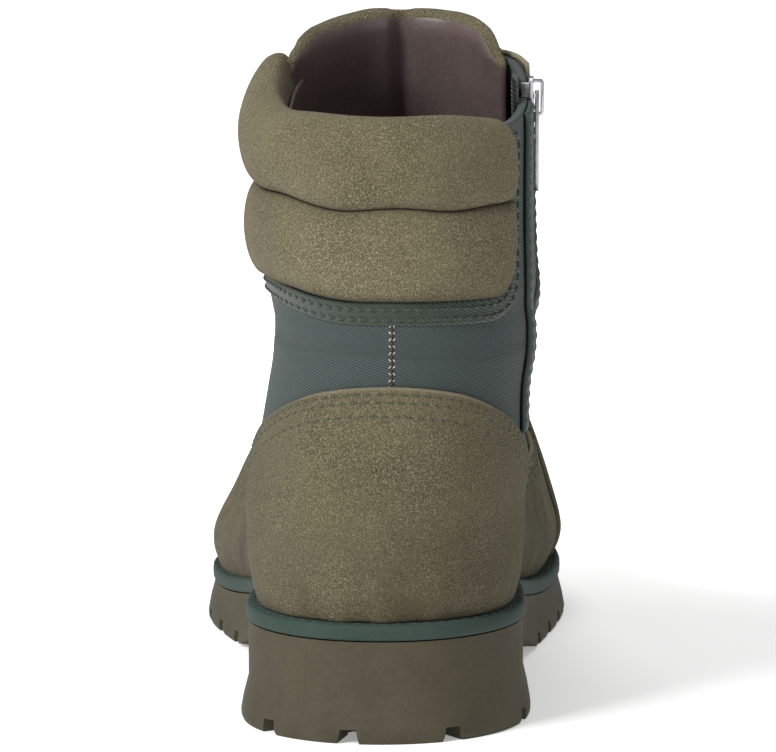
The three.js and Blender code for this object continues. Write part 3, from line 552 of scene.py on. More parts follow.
suede = suede_material("suede")
# Painted light: a copy of the suede with every tone 12% lighter, for the collar at the top of the boot
suede_collar_lit = suede_material("suede_collar_lit", 1.12)
canvas = canvas_material()
lining = grained_material("lining", (0.075, 0.053, 0.050), (0.118, 0.088, 0.083),
                          0.42, 900, 0.0001, coat=0.12)[0]
guard_leather = grained_material("guard_leather", (0.020, 0.030, 0.025), (0.036, 0.050, 0.043),
                                 0.65, 700, 0.00025)[0]
binding_cloth = cord_material("binding_cloth", (0.022, 0.032, 0.023), (0.052, 0.066, 0.048), 0.0007)
rubber = rubber_material("rubber", (0.046, 0.039, 0.022), (0.064, 0.054, 0.032), (0.085, 0.073, 0.048))
green_rubber = rubber_material("green_rubber", (0.020, 0.036, 0.029), (0.030, 0.050, 0.041),
                               (0.05, 0.062, 0.055))
thread = cord_material("thread", (0.016, 0.026, 0.018), (0.060, 0.085, 0.062), 0.0006)
suede_thread = cord_material("suede_thread", (0.030, 0.034, 0.018), (0.10, 0.10, 0.06), 0.0006)
pale_thread = cord_material("pale_thread", (0.42, 0.41, 0.38), (0.75, 0.74, 0.70), 0.0006)
# Painted shade for the gap in the centre back seam
painted_seam_shade = cord_material("painted_seam_shade", (0.030, 0.008, 0.008), (0.070, 0.020, 0.018), 0.0005)
tape = cord_material("tape", (0.008, 0.008, 0.009), (0.024, 0.024, 0.026), 0.0008)
lace_cord = cord_material("lace_cord", (0.018, 0.024, 0.018), (0.070, 0.082, 0.062), 0.0011)
steel = metal_material("steel", (0.26, 0.26, 0.27), (0.46, 0.46, 0.47), 0.26)
gunmetal = metal_material("gunmetal", (0.10, 0.10, 0.105), (0.20, 0.20, 0.21), 0.3)


# Creases: place along the foot, height, length, depth, tilt, width, and side (0 for both)
CREASES = [
    (0.004, 0.1165, 0.030, 0.0008, 0.05, 0.0028, 0),
    (0.010, 0.1075, 0.026, 0.0007, 0.10, 0.0030, -1),
    (0.060, 0.1120, 0.020, 0.0016, -0.45, 0.0045, 0),
    (0.072, 0.1000, 0.022, 0.0014, -0.50, 0.0040, 0),
    (0.092, 0.0900, 0.022, 0.0012, -0.60, 0.0045, 0),
    (0.165, 0.0640, 0.026, 0.0015, 1.05, 0.0045, 0),
    (0.182, 0.0560, 0.028, 0.0018, 1.15, 0.0050, 0),
    (0.198, 0.0520, 0.024, 0.0014, 1.20, 0.0045, 0),
    (0.150, 0.0480, 0.018, 0.0008, 0.80, 0.0040, 1),
    (0.120, 0.0560, 0.022, 0.0008, 0.30, 0.0050, -1),
    (0.030, 0.0600, 0.026, 0.0006, 0.20, 0.0060, 1),
    (0.020, 0.0520, 0.022, 0.0005, 0.15, 0.0050, -1),
]


def creases(base):
    """Soft troughs that wear has left, with a low seam ridge and puckers at the foot of the heel back."""
    total = np.zeros(base.shape[:-1])
    for y, z, length, depth, tilt, width, side in CREASES:
        dy, dz = base[..., 1] - y, base[..., 2] - z
        along = dy * math.cos(tilt) + dz * math.sin(tilt)
        off = -dy * math.sin(tilt) + dz * math.cos(tilt)
        trough = np.exp(-(off / width) ** 2) - 0.35 * np.exp(-((off - 2 * width) / width) ** 2)
        trough = trough * np.exp(-(along / length) ** 2)
        if side:
            trough = trough * smooth(side * (base[..., 0] - THROAT_X) / 0.006)
        total = total - depth * trough
    x, y, z = base[..., 0], base[..., 1], base[..., 2]
    back = np.exp(-(y / 0.012) ** 2)
    foot = np.exp(-((z - HEEL_HEIGHT) / 0.011) ** 2)
    total = total + 0.0005 * back * foot * np.sin(x / 0.0021) * np.exp(-(x / 0.02) ** 2)
    total = total + 0.0004 * back * np.exp(-((x - 0.001) / 0.0022) ** 2) * smooth((0.085 - z) / 0.02)
    return total


# Panels on the skin

def panel(name, turn_of, low, high, material, columns, rows, offset, thickness, edge=0.0012, node=None):
    """A panel between two height lines. turn_of(s, level) places its columns, offset its face."""
    def laid(s, t):
        line = s[0]
        bottom = level_where(lambda level: turn_of(line, level), low)
        top = level_where(lambda level: turn_of(line, level), high)
        level = mix(bottom[None, :], top[None, :], t)
        turn = turn_of(s, level)
        base = on_last(level, turn)
        across = np.minimum(s, 1 - s) * arc_lengths(base, 1)[-1]
        along = np.minimum(t, 1 - t) * arc_lengths(base, 0)[-1]
        return level, turn, base, np.minimum(across, along)

    def place(s, t):
        level, turn, base, near = laid(s, t)
        rounding = np.sqrt(1 - (1 - np.clip(near / edge, 0, 1)) ** 2)
        return skin(level, turn, offset - 0.6 * thickness * (1 - rounding) + creases(base))

    piece = grid_piece(name, columns, rows, place, material, {"edge": lambda s, t: laid(s, t)[3]})
    thicken(piece, thickness)
    if node:
        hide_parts(node)
    return piece


def row_on_skin(turn_of, height, offset, low=0.0, high=1.0, count=240):
    """Points and outward directions along a height line."""
    s = np.linspace(low, high, count)
    level = level_where(lambda level: turn_of(s, level), height)
    turn = turn_of(s, level)
    return skin(level, turn, offset + creases(on_last(level, turn))), outwards(level, turn)


def column_on_skin(turn_of, low, high, offset, count=160):
    """Points and outward directions up a line that turn_of(level) gives, between two height lines."""
    ends = [float(level_where(lambda level: turn_of(level), height)) for height in (low, high)]
    level = np.linspace(ends[0], ends[1], count)
    turn = turn_of(level)
    return skin(level, turn, offset + creases(on_last(level, turn))), outwards(level, turn)


def stitches(name, rows, material, pitch=0.0034, length=0.0025, radius=0.00036, slant=0.0):
    """Rows of sewn stitches, each a small pulled-in bead of thread."""
    bm = bmesh.new()
    for points, normals in rows:
        steps = np.linalg.norm(np.diff(points, axis=0), axis=1)
        run = np.concatenate([[0], np.cumsum(steps)])
        for k, place in enumerate(np.arange(pitch / 2, run[-1], pitch)):
            at = [np.interp(place, run, points[:, axis]) for axis in range(3)]
            ahead = [np.interp(place + 0.0005, run, points[:, axis]) for axis in range(3)]
            behind = [np.interp(place - 0.0005, run, points[:, axis]) for axis in range(3)]
            outward = Vector([np.interp(place, run, normals[:, axis]) for axis in range(3)]).normalized()
            along = (Vector(ahead) - Vector(behind)).normalized()
            side = along.cross(outward).normalized()
            lean = slant * (1 if k % 2 else -1)
            thread_way = along * math.cos(lean) + side * math.sin(lean)
            cross_way = side * math.cos(lean) - along * math.sin(lean)
            basis = Matrix((cross_way * radius, outward * radius, thread_way * length / 2))
            basis = basis.transposed().to_4x4()
            basis.translation = Vector(at) + Vector((0, -TREAD_CENTRE, 0))
            bmesh.ops.create_uvsphere(bm, u_segments=6, v_segments=4, radius=1, matrix=basis)
    bmesh.ops.recalc_face_normals(bm, faces=bm.faces)
    return new_piece(name, bm, material)


def seat_line(y):
    return feather(y) + FIT_GAP


def upper_line(y):
    return topline(y) - COLLAR_CAP - FIT_GAP


FACE = FIT_GAP + OVERLAY
PANEL_THICKNESS = OVERLAY - 0.0001


# Upper

def throat_half(z):
    rise = np.clip((z - THROAT_BOTTOM) / THROAT_HALF, 0, 1)
    return THROAT_HALF * np.sqrt(1 - (1 - rise) ** 2)


def throat_turn(level, side):
    half = throat_half(on_last(level, math.pi)[..., 2])
    found = turn_at_x(level, THROAT_X + side * np.maximum(half, 1e-5))
    return np.where(half > 0, found, side * math.pi)


ZIP_BACK_COLUMN, ZIP_FRONT_COLUMN = 130, 134
UPPER_COLUMNS, UPPER_ROWS = 220, 110


def upper_turn(s, level):
    lateral = throat_turn(level, -1)
    back = turn_at_y(level, ZIP_LINE - ZIP_SLOT / 2, 1)
    front = turn_at_y(level, ZIP_LINE + ZIP_SLOT / 2, 1)
    medial = throat_turn(level, 1)
    c = s * UPPER_COLUMNS
    first = mix(lateral, back, c / ZIP_BACK_COLUMN)
    slot = mix(back, front, (c - ZIP_BACK_COLUMN) / (ZIP_FRONT_COLUMN - ZIP_BACK_COLUMN))
    rest = mix(front, medial, (c - ZIP_FRONT_COLUMN) / (UPPER_COLUMNS - ZIP_FRONT_COLUMN))
    return np.where(c <= ZIP_BACK_COLUMN, first, np.where(c <= ZIP_FRONT_COLUMN, slot, rest))


def upper_place(s, t):
    line = s[0]
    low = level_where(lambda level: upper_turn(line, level), seat_line)
    high = level_where(lambda level: upper_turn(line, level), upper_line)
    level = mix(low[None, :], high[None, :], t)
    turn = upper_turn(s, level)
    return skin(level, turn, creases(on_last(level, turn)))


upper = grid_piece("upper_canvas", UPPER_COLUMNS, UPPER_ROWS, upper_place, canvas)
bm = bmesh.new()
bm.from_mesh(upper.data)
slot_faces = []
for f in bm.faces:
    c = f.calc_center_median()
    y = c.y + TREAD_CENTRE
    if c.x > 0.02 and abs(y - ZIP_LINE) < ZIP_SLOT / 2 - 0.0001 and c.z > ZIP_BOTTOM:
        slot_faces.append(f)
bmesh.ops.delete(bm, geom=slot_faces, context="FACES")
bm.to_mesh(upper.data)
bm.free()
thicken(upper, WALL)
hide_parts("upper")


# Heel counter

def counter_line(y):
    ys = [0, 0.0087, 0.0246, COUNTER_REACH - 0.014, COUNTER_REACH - 0.002, COUNTER_REACH]
    zs = [COUNTER_TOP, mix(COUNTER_SIDE, COUNTER_TOP, 0.85), mix(COUNTER_SIDE, COUNTER_TOP, 0.5),
          COUNTER_SIDE, 0.83 * COUNTER_SIDE, 0.62 * COUNTER_SIDE]
    return np.interp(y, ys, zs)


def counter_turn(s, level):
    side = np.sign(s - 0.5)
    back, front = column_at("back", level) * LAST_LENGTH, column_at("front", level) * LAST_LENGTH
    share = (COUNTER_REACH - back) / (front - back) * (1 - np.cos(np.abs(2 * s - 1) * math.pi / 2))
    return side * np.arccos(1 - 2 * share)


panel("heel_counter_suede", counter_turn, seat_line, counter_line, suede, 170, 90, FACE, PANEL_THICKNESS,
      node="heel_counter")
counter_rows = [
    row_on_skin(counter_turn, lambda y, d=depth: counter_line(y) - d, FACE, 0.06, 0.94)
    for depth in (0.0022, 0.0046, 0.0088)
]
stitches("counter_stitches", counter_rows, suede_thread)


# Wings and toe cap

def wing_line(y):
    ys = [COUNTER_REACH, 0.3 * LAST_LENGTH, 0.5 * LAST_LENGTH, 0.68 * LAST_LENGTH, TOE_CAP_LINE]
    rises = zip(ys[1:], (0.75, 0.6, 0.68, 0.8))
    zs = [COUNTER_SIDE - 0.001] + [feather(place) + share * WING_RISE for place, share in rises]
    return np.interp(y, ys, zs)


wing_rows = []
for side, name in ((-1, "lateral"), (1, "medial")):
    def wing_turn(s, level, side=side):
        return turn_at_y(level, mix(COUNTER_REACH + 0.0012, TOE_CAP_LINE - 0.0006, s), side)

    panel(f"wing_{name}_suede", wing_turn, seat_line, wing_line, suede, 120, 50, FACE, PANEL_THICKNESS,
          node=f"wing_{name}")
    for depth in (0.0022, 0.0046):
        row = row_on_skin(wing_turn, lambda y, d=depth: wing_line(y) - d, FACE + 0.0001, 0.02, 0.98)
        wing_rows.append(row)


def cap_turn(s, level):
    start = turn_at_y(level, TOE_CAP_LINE + 0.0006, 1)
    return mix(-start, start - 2 * math.pi, s)


levels = np.linspace(0, TOP_LEVEL, 400)
fronts = column_at("front", levels) * LAST_LENGTH
apex = levels[np.argmax(fronts < TOE_CAP_LINE + 0.0016)]


def cap_level(s, t):
    low = level_where(lambda level: cap_turn(s[0], level), seat_line)
    return mix(low[None, :], apex, 1 - (1 - t) ** 1.6)


def cap_place(s, t):
    level = cap_level(s, t)
    return skin(level, cap_turn(s, level), FACE)


def cap_edge(s, t):
    level = cap_level(s, t)
    turn = cap_turn(s, level)
    return on_last(level, turn)[..., 1] - TOE_CAP_LINE


toe_cap = grid_piece("toe_cap_suede", 140, 80, cap_place, suede, {"edge": cap_edge})
thicken(toe_cap, PANEL_THICKNESS)
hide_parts("toe_cap")
for side in (-1, 1):
    for depth in (0.0028, 0.0052):
        level = np.linspace(1.5, apex - 0.4, 120)
        turn = turn_at_y(level, TOE_CAP_LINE + depth, side)
        wing_rows.append((skin(level, turn, FACE + 0.0001), outwards(level, turn)))
stitches("vamp_stitches", wing_rows, suede_thread)


# Eyestays

def stay_turn(side):
    def turn_of(s, level):
        return turn_at_x(level, THROAT_X + side * (THROAT_HALF + EYESTAY_WIDTH * s))
    return turn_of


stay_rows = []
for side, name in ((-1, "lateral"), (1, "medial")):
    panel(f"eyestay_{name}_suede", stay_turn(side), THROAT_BOTTOM - EYESTAY_TAIL + 0.004, upper_line,
          suede, 24, 110, FACE, PANEL_THICKNESS, node=f"eyestay_{name}")
    for share in (0.1, 0.88):
        stay_rows.append(column_on_skin(lambda level, k=share, side=side: stay_turn(side)(k, level),
                                        THROAT_BOTTOM, lambda y: upper_line(y) - 0.004, FACE + 0.0001))
stitches("eyestay_stitches", stay_rows, suede_thread)


# Binding that runs under the collar and up its medial end

BINDING_UNDER, BINDING_CORNER = 0.72, 0.80


def hem_rise(s):
    """How far the collar's lower edge and crease climb on the lateral side."""
    return 0.0042 * smooth((0.58 - s) / 0.36)


def collar_front_turn(level):
    return turn_at_y(level, COLLAR_FRONT, -1)


def binding_place(s, t, low=0.0, high=0.0066, offset=FIT_GAP + 0.0005):
    reach = mix(low, high, t)
    corner = COLLAR_CORNER
    bend = (s - BINDING_UNDER) / (BINDING_CORNER - BINDING_UNDER) * math.pi / 2
    angle = np.clip(bend, 0, math.pi / 2)
    climb = np.clip((s - BINDING_CORNER) / (1 - BINDING_CORNER), 0, 1)
    y = COLLAR_END - corner + (corner + reach) * np.sin(angle)
    z = COLLAR_BOTTOM + corner - (corner + reach) * np.cos(angle)
    z = z + climb * (COLLAR_TOP - COLLAR_BOTTOM - corner - 0.006) + hem_rise(s / BINDING_UNDER)

    def turn_of(level):
        edge = turn_at_y(level, y, 1)
        under = mix(collar_front_turn(level), edge, s / BINDING_UNDER)
        return np.where(s < BINDING_UNDER, under, edge)

    low_level, high_level = np.zeros(s.shape), np.full(s.shape, TOP_LEVEL)
    for _ in range(30):
        middle = (low_level + high_level) / 2
        short = on_last(middle, turn_of(middle))[..., 2] < z
        low_level, high_level = np.where(short, middle, low_level), np.where(short, high_level, middle)
    turn = turn_of(low_level)
    near = np.minimum(t, 1 - t) * (high - low)
    edge = np.sqrt(1 - (1 - np.clip(near / 0.0006, 0, 1)) ** 2) if high > low else 1.0
    lift = offset - 0.0004 * (1 - edge) + creases(on_last(low_level, turn))
    return skin(low_level, turn, lift), outwards(low_level, turn)


binding = grid_piece("collar_binding", 220, 10, lambda s, t: binding_place(s, t)[0], binding_cloth,
                     flip=True)
thicken(binding, 0.0007)
run = np.linspace(0, 1, 400)
binding_rows = [
    binding_place(run, np.zeros(400), reach, reach, FIT_GAP + 0.0007)
    for reach in (0.0021, 0.0050)
]
stitches("binding_stitches", binding_rows, thread, radius=0.0005)


# Collar: two rolls of padded suede that close over the top edge
ROLL_INSIDE = -WALL - FIT_GAP - COLLAR_INSIDE
ROLL_CREST = -0.0012


def collar_turn(s, level):
    return mix(collar_front_turn(level), turn_at_y(level, COLLAR_END, 1), s)


def wavy_top(y, s):
    return topline(y) + 0.7 * hem_rise(s) + 0.0006 * np.sin(2.0 + 9 * s) + 0.0004 * np.sin(5.0 + 19 * s)


LOWER_ROLL, UPPER_ROLL = 0.24, 0.70
ROLL_SWING = math.radians(245)


def collar_section(t, crease, outer, height):
    """Height share and offset round the section: lower roll, upper roll, top, and back along the wall."""
    low = np.clip(t / LOWER_ROLL, 0, 1)
    swing = np.clip((t - LOWER_ROLL) / (UPPER_ROLL - LOWER_ROLL), 0, 1) * ROLL_SWING - math.pi / 2
    back = np.clip((t - UPPER_ROLL) / (1 - UPPER_ROLL), 0, 1)
    lower_share = crease * (0.5 - 0.5 * np.cos(math.pi * low))
    lower_bulge = 0.85 * (1 + 0.4 * ROLL_SIDE * outer) * (ROLL_BULGE - CREASE_BULGE)
    lower_offset = mix(FIT_GAP + 0.0004, CREASE_BULGE, low) + lower_bulge * np.sin(math.pi * low) ** 0.8
    upper_share = crease + (1 - crease) * (0.5 + 0.5 * np.sin(swing))
    upper_bulge = (1 + ROLL_SIDE * outer) * (ROLL_BULGE - CREASE_BULGE)
    outer_offset = mix(CREASE_BULGE, ROLL_CREST, smooth(swing / math.pi + 0.5))
    outer_offset = outer_offset + upper_bulge * np.maximum(0, np.cos(swing)) ** 0.85
    inner_offset = ROLL_CREST + (ROLL_INSIDE - ROLL_CREST) * np.maximum(0, -np.cos(swing)) ** 0.8
    upper_offset = np.where(swing > math.pi / 2, inner_offset, outer_offset)
    end_share = crease + (1 - crease) * (0.5 + 0.5 * math.sin(ROLL_SWING - math.pi / 2))
    edge_share = 1 - (COLLAR_CAP + 0.0001) / height
    climb, descent = np.clip((back - 0.15) / 0.35, 0, 1), np.clip((back - 0.6) / 0.4, 0, 1)
    back_share = mix(mix(end_share, edge_share, climb), 0, descent)
    inside, seat = -WALL - 0.0003, 0.0002
    back_offset = np.interp(back, (0, 0.15, 0.5, 0.6), (ROLL_INSIDE, inside, inside, seat))
    share = np.where(t < LOWER_ROLL, lower_share, np.where(t < UPPER_ROLL, upper_share, back_share))
    offset = np.where(t < LOWER_ROLL, lower_offset, np.where(t < UPPER_ROLL, upper_offset, back_offset))
    return share, offset


def collar_place(s, t):
    line = s[0]
    low = level_where(lambda level: collar_turn(line, level), lambda y: COLLAR_BOTTOM + hem_rise(line))
    high = level_where(lambda level: collar_turn(line, level), lambda y: wavy_top(y, line))
    base = on_last(high, collar_turn(line, high))
    height = (base[..., 2] - COLLAR_BOTTOM - hem_rise(line))[None, :]
    length = np.linalg.norm(np.diff(base, axis=0), axis=1).sum()
    end = np.minimum(line, 1 - line)[None, :] * length
    crease = (COLLAR_CREASE + 0.0005 * np.sin(5 + 23 * line)[None, :] - COLLAR_BOTTOM) / height
    outer = np.maximum(0, -np.sin(collar_turn(line, high)))[None, :]
    share, offset = collar_section(t, crease, outer, height)
    corner = 1 - np.sqrt(1 - (1 - np.clip(end / COLLAR_CORNER, 0, 1)) ** 2)
    share = mix(corner * COLLAR_CORNER / height, 1 - 0.6 * corner * COLLAR_CORNER / height, share)
    fullness = np.sqrt(1 - (1 - np.clip(end / 0.0028, 0, 1)) ** 2)
    ripple = 0.0002 * np.sin(29 * s + 9 * share) * np.sin(17 * s + 3)
    ripple = ripple + 0.0002 * np.sin(11 * share + 5 * np.sin(9 * s))
    offset = np.where(offset > 0.001, offset + ripple, offset)
    offset = np.where(offset > 0.0003, mix(0.0003, offset, fullness), offset)
    level = mix(low[None, :], high[None, :], share)
    return skin(level, collar_turn(s, level), offset)


def collar_crease_shade(s, t):
    """A mask that is 1 in the crease between the rolls and under the lower one, where the suede gets
    painted shade.
    """
    crease = np.exp(-((t - LOWER_ROLL) / 0.022) ** 2)
    return np.clip(crease + np.exp(-(t / 0.035) ** 2), 0, 1)


def no_edge(s, t):
    return np.full(s.shape, 1.0)


# The collar carries the mask of its painted crease shade
collar = grid_piece("collar_suede", 230, 110, collar_place, suede_collar_lit,
                    {"edge": no_edge, "crease_shade": collar_crease_shade})
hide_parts("collar")


def lining_place(s, t):
    line = s[0]

    def turn_of(share, level):
        return mix(collar_front_turn(level), turn_at_y(level, ZIP_LINE - 0.0105, 1), share)

    low = level_where(lambda level: turn_of(line, level), 0.066)
    high = level_where(lambda level: turn_of(line, level), lambda y: topline(y) - 0.0062)
    level = mix(low[None, :], high[None, :], t)
    turn = turn_of(s, level)
    base = on_last(level, turn)
    before_end = COLLAR_END - base[..., 1] + 0.05 * (base[..., 0] < THROAT_X)
    padded = smooth((base[..., 2] - COLLAR_BOTTOM) / 0.012) * smooth(before_end / 0.004)
    return skin(level, turn, mix(-WALL - 0.0006, ROLL_INSIDE + 0.0002, padded))


collar_lining = grid_piece("collar_lining", 150, 60, lining_place, lining)
thicken(collar_lining, 0.001)


# Tongue: two padded halves that meet in a deep centre crease, leather inside and suede outside
TONGUE_ACROSS = [-1, -0.99, -0.89, -0.62, -0.3, -0.06, 0, 0.06, 0.3, 0.62, 0.8, 0.92, 1]
TONGUE_DOWN = [0.6, 0.42, 0.21, 0.09, 0.01, 0.01, 0.05, 0.01, 0.01, 0.05, 0.12, 0.25, 0.6]
TONGUE_FOOT = THROAT_BOTTOM - TONGUE_TUCK


def tongue_half(z):
    rise = np.clip((z - TONGUE_FOOT) / (COLLAR_BOTTOM - TONGUE_FOOT), 0, 1)
    return mix(TONGUE_TIP_HALF, TONGUE_HALF, rise)


def tongue_turn(s, level):
    height = on_last(level, math.pi)[..., 2]
    x = TONGUE_X + (2 * s - 1) * tongue_half(height) * 1.05
    turn = turn_at_x(level, x)
    widest = np.where(x > THROAT_X, turn_at_y(level, TONGUE_BACK, 1), turn_at_y(level, TONGUE_BACK, -1))
    return np.where(x > THROAT_X, np.maximum(turn, widest), np.minimum(turn, widest))


def tongue_place(s, t):
    line = s[0]
    across = 2 * line - 1
    low = level_where(lambda level: tongue_turn(line, level), TONGUE_FOOT)
    steps = (-0.08, -0.04, 0, 0.04, 0.08)
    down = sum(np.interp(across + step, TONGUE_ACROSS, TONGUE_DOWN) for step in steps) / len(steps)
    top = TONGUE_TOP - TONGUE_HALF * down
    high = level_where(lambda level: tongue_turn(line, level), lambda y: top)
    front = t < 0.5
    rise = np.where(front, 2 * t, 2 - 2 * t)
    level = mix(low[None, :], high[None, :], 1 - (1 - rise) ** 1.15)
    turn = tongue_turn(s, level)
    base = on_last(level, turn)
    from_top = np.maximum(0, top[None, :] - base[..., 2])
    from_side = np.minimum(s, 1 - s) * 2 * TONGUE_HALF
    near = np.clip(np.minimum(from_top / 0.006, from_side / 0.005), 0, 1)
    rounding = np.sqrt(1 - (1 - near) ** 2)
    crease = np.exp(-((s - 0.5) * 2 * TONGUE_HALF / 0.0032) ** 2)
    pad = 1 + 0.35 * np.abs(np.sin(math.pi * 2 * s)) - 0.85 * crease
    middle = -WALL - FIT_GAP - 0.35 * TONGUE_THICKNESS
    inner = middle - 0.65 * TONGUE_THICKNESS * rounding * pad
    outer = middle + 0.35 * TONGUE_THICKNESS * rounding
    return skin(level, turn, np.where(front, inner, outer))


TONGUE_COLUMNS, TONGUE_ROWS, SUEDE_ROW = 120, 150, 73
tongue = grid_piece("tongue_padded", TONGUE_COLUMNS, TONGUE_ROWS, tongue_place, lining, {"edge": no_edge},
                    flip=True)
tongue.data.materials.append(suede)
for polygon in tongue.data.polygons:
    polygon.material_index = 1 if polygon.index // TONGUE_COLUMNS >= SUEDE_ROW else 0
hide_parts("tongue")


# Zip: tape, teeth, guards, slider and pull

def guard_turn(near, far):
    return lambda s, level: turn_at_y(level, ZIP_LINE + mix(near, far, s), 1)


GUARD_NEAR = SLIDER_WIDTH / 2 + 2 * FIT_GAP
guard_rows = []
for side, name in ((-1, "back"), (1, "front")):
    near, far = side * GUARD_NEAR, side * (GUARD_NEAR + GUARD_WIDTH)
    panel(f"zip_guard_{name}_leather", guard_turn(min(near, far), max(near, far)), ZIP_BOTTOM + 0.008,
          upper_line, guard_leather, 14, 110, FACE, PANEL_THICKNESS, node=f"zip_guard_{name}")
    for inset in (0.0016, GUARD_WIDTH - 0.0018):
        line_y = ZIP_LINE + side * (GUARD_NEAR + inset)
        guard_rows.append(column_on_skin(lambda level, y=line_y: turn_at_y(level, y, 1), ZIP_BOTTOM + 0.010,
                                         lambda y: upper_line(y) - 0.003, FACE - 0.0001))
stitches("guard_stitches", guard_rows, thread)

zip_tape = panel("zip_tape", guard_turn(-0.0095, 0.0095), ZIP_BOTTOM - 0.006, SLIDER_TOP, tape, 16, 90,
                 -WALL - FIT_GAP, 0.001, node="zip")
bm = bmesh.new()
for k, height in enumerate(np.arange(ZIP_BOTTOM + 0.0012, SLIDER_TOP - SLIDER_LENGTH - 0.0008, 0.00085)):
    side = 1 if k % 2 else -1
    line_y = ZIP_LINE + side * 0.0007
    level = level_where(lambda level: turn_at_y(level, line_y, 1), height)
    turn = turn_at_y(level, line_y, 1)
    at, outward = Vector(skin(level, turn, -0.0011)), Vector(outwards(level, turn))
    ahead = Vector(skin(level + 0.02, turn, -0.0011))
    along = (ahead - at).normalized()
    across = along.cross(outward).normalized()
    basis = Matrix((across * 0.0032, along * 0.00075, outward * 0.0021)).transposed().to_4x4()
    basis.translation = at + Vector((0, -TREAD_CENTRE, 0))
    bmesh.ops.create_cube(bm, size=1, matrix=basis)
bmesh.ops.bevel(bm, geom=bm.edges, offset=0.00014, offset_type="OFFSET", segments=1, profile=0.5,
                affect="EDGES", clamp_overlap=True, material=-1)
bmesh.ops.recalc_face_normals(bm, faces=bm.faces)
new_piece("zip_teeth", bm, gunmetal, sharp=30)

finished_copy("zip_slider", "zip_slider_steel", steel, "boot", 0.0002)
finished_copy("zip_pull", "zip_pull_steel", steel, "zip_pull", 0.00022)


# Eyelets, hooks and lace
LACE_ROWS, EYELET_ROWS = 7, 5


def front_level(row):
    return TOP_LEVEL * mix(0.52, 0.9, row / (LACE_ROWS - 1))


def lace_point(row, side):
    level = front_level(row)
    return level, float(turn_at_x(level, THROAT_X + side * (THROAT_HALF + 0.007)))


def seat_on_skin(level, turn, offset):
    base, outward = Vector(skin(level, turn, offset)), Vector(outwards(level, turn))
    upwards = Vector(skin(level + 0.05, turn, offset)) - base
    across = upwards.cross(outward).normalized()
    basis = Matrix((across, outward.cross(across), outward)).transposed().to_4x4()
    basis.translation = base + Vector((0, -TREAD_CENTRE, 0))
    return basis


# Half section of an eyelet in millimetres: radius and height over the eyestay
EYELET_PROFILE = [(2.1, -1.5), (2.1, 0.4), (2.4, 0.85), (3.1, 0.98), (3.8, 0.75), (4.15, 0.25), (4.2, 0)]
for row in range(EYELET_ROWS):
    for side, name in ((-1, "lateral"), (1, "medial")):
        bm = bmesh.new()
        verts = [bm.verts.new((r / 1000, 0, h / 1000)) for r, h in EYELET_PROFILE]
        edges = [bm.edges.new(pair) for pair in zip(verts, verts[1:])]
        bmesh.ops.spin(bm, geom=verts + edges, cent=(0, 0, 0), axis=(0, 0, 1), angle=2 * math.pi,
                       steps=24, use_merge=True)
        bmesh.ops.recalc_face_normals(bm, faces=bm.faces)
        bmesh.ops.transform(bm, matrix=seat_on_skin(*lace_point(row, side), FACE + 0.0001), verts=bm.verts)
        ring = new_piece(f"eyelet_ring_{name}_{row + 1}", bm, gunmetal)
        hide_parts(f"eyelet_{name}_{row + 1}")
for name in ("lateral", "medial"):
    for row in (1, 2):
        finished_copy(f"hook_{name}_{row}", f"hook_metal_{name}_{row}", gunmetal, "boot", 0.0002)


def strand(start, end, over):
    """A lace from one eyelet to another, over or under the strand that it crosses."""
    t = np.linspace(0, 1, 33)
    level = mix(start[0], end[0], t)
    x0, x1 = float(on_last(*start)[0]), float(on_last(*end)[0])
    turn = turn_at_x(level, mix(x0, x1, t))
    rise = np.clip(np.minimum(t, 1 - t) / 0.12, 0, 1)
    lift = mix(-0.0012, 0.0046, np.sqrt(1 - (1 - rise) ** 2))
    return skin(level, turn, lift + over * 0.0016 * np.exp(-((t - 0.5) / 0.16) ** 2))


lace_curve = bpy.data.curves.new("lace_strands", "CURVE")
lace_curve.dimensions = "3D"
lace_curve.bevel_depth = 0.0015
lace_curve.bevel_resolution = 3
lace_curve.use_fill_caps = True
runs = [strand(lace_point(0, -1), lace_point(0, 1), 0)]
for row in range(EYELET_ROWS - 1):
    runs.append(strand(lace_point(row, -1), lace_point(row + 1, 1), 1))
    runs.append(strand(lace_point(row, 1), lace_point(row + 1, -1), -1))
for points in runs:
    spline = lace_curve.splines.new("POLY")
    spline.points.add(len(points) - 1)
    for point, place in zip(spline.points, points):
        point.co = (place[0], place[1] - TREAD_CENTRE, place[2], 1)
lace_curve.materials.append(lace_cord)
lace = bpy.data.objects.new("lace_strands", lace_curve)
bpy.context.collection.objects.link(lace)
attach(lace, "boot")
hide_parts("lace")


# Seam at the centre back: pale zigzag stitches over a row of dark beads, painted shade in the seam's gap

def back_turn(level, x):
    turns = np.linspace(-0.6, 0.6, 200)
    xs = on_last(np.full(200, float(level)), turns)[:, 0]
    return float(np.interp(x, xs, turns))


seam_ends = [
    float(level_where(lambda level: np.asarray(0.1), z))
    for z in (COUNTER_TOP - 0.002, COLLAR_BOTTOM + 0.001)
]
levels = np.linspace(*seam_ends, 40)
seam = {}
for x in (0.0039, 0.0045, 0.0050):
    turns = np.array([back_turn(level, x) for level in levels])
    base = on_last(levels, turns)
    seam[x] = skin(levels, turns, creases(base) + 0.0001), outwards(levels, turns)
# Painted shade: dark red beads stand in for the shadow in the gap of the seam
stitches("centre_painted_seam_shade", [seam[0.0045]], painted_seam_shade, pitch=0.0016, length=0.0026, radius=0.00035)
stitches("centre_seam_stitches", [seam[0.0039], seam[0.0050]], pale_thread, pitch=0.0019, length=0.0011,
         radius=0.00018, slant=0.75)


# Sole
SOLE_LEVEL = 1.4
HEEL_BREAST, FOREFOOT_START, TREAD_END = 0.27 * LAST_LENGTH, 0.53 * LAST_LENGTH, 0.76 * LAST_LENGTH
SOLE_TIP, SOLE_TIP_RISE = LAST_LENGTH + 3 * RIM_LEDGE, TOE_SPRING + 0.003


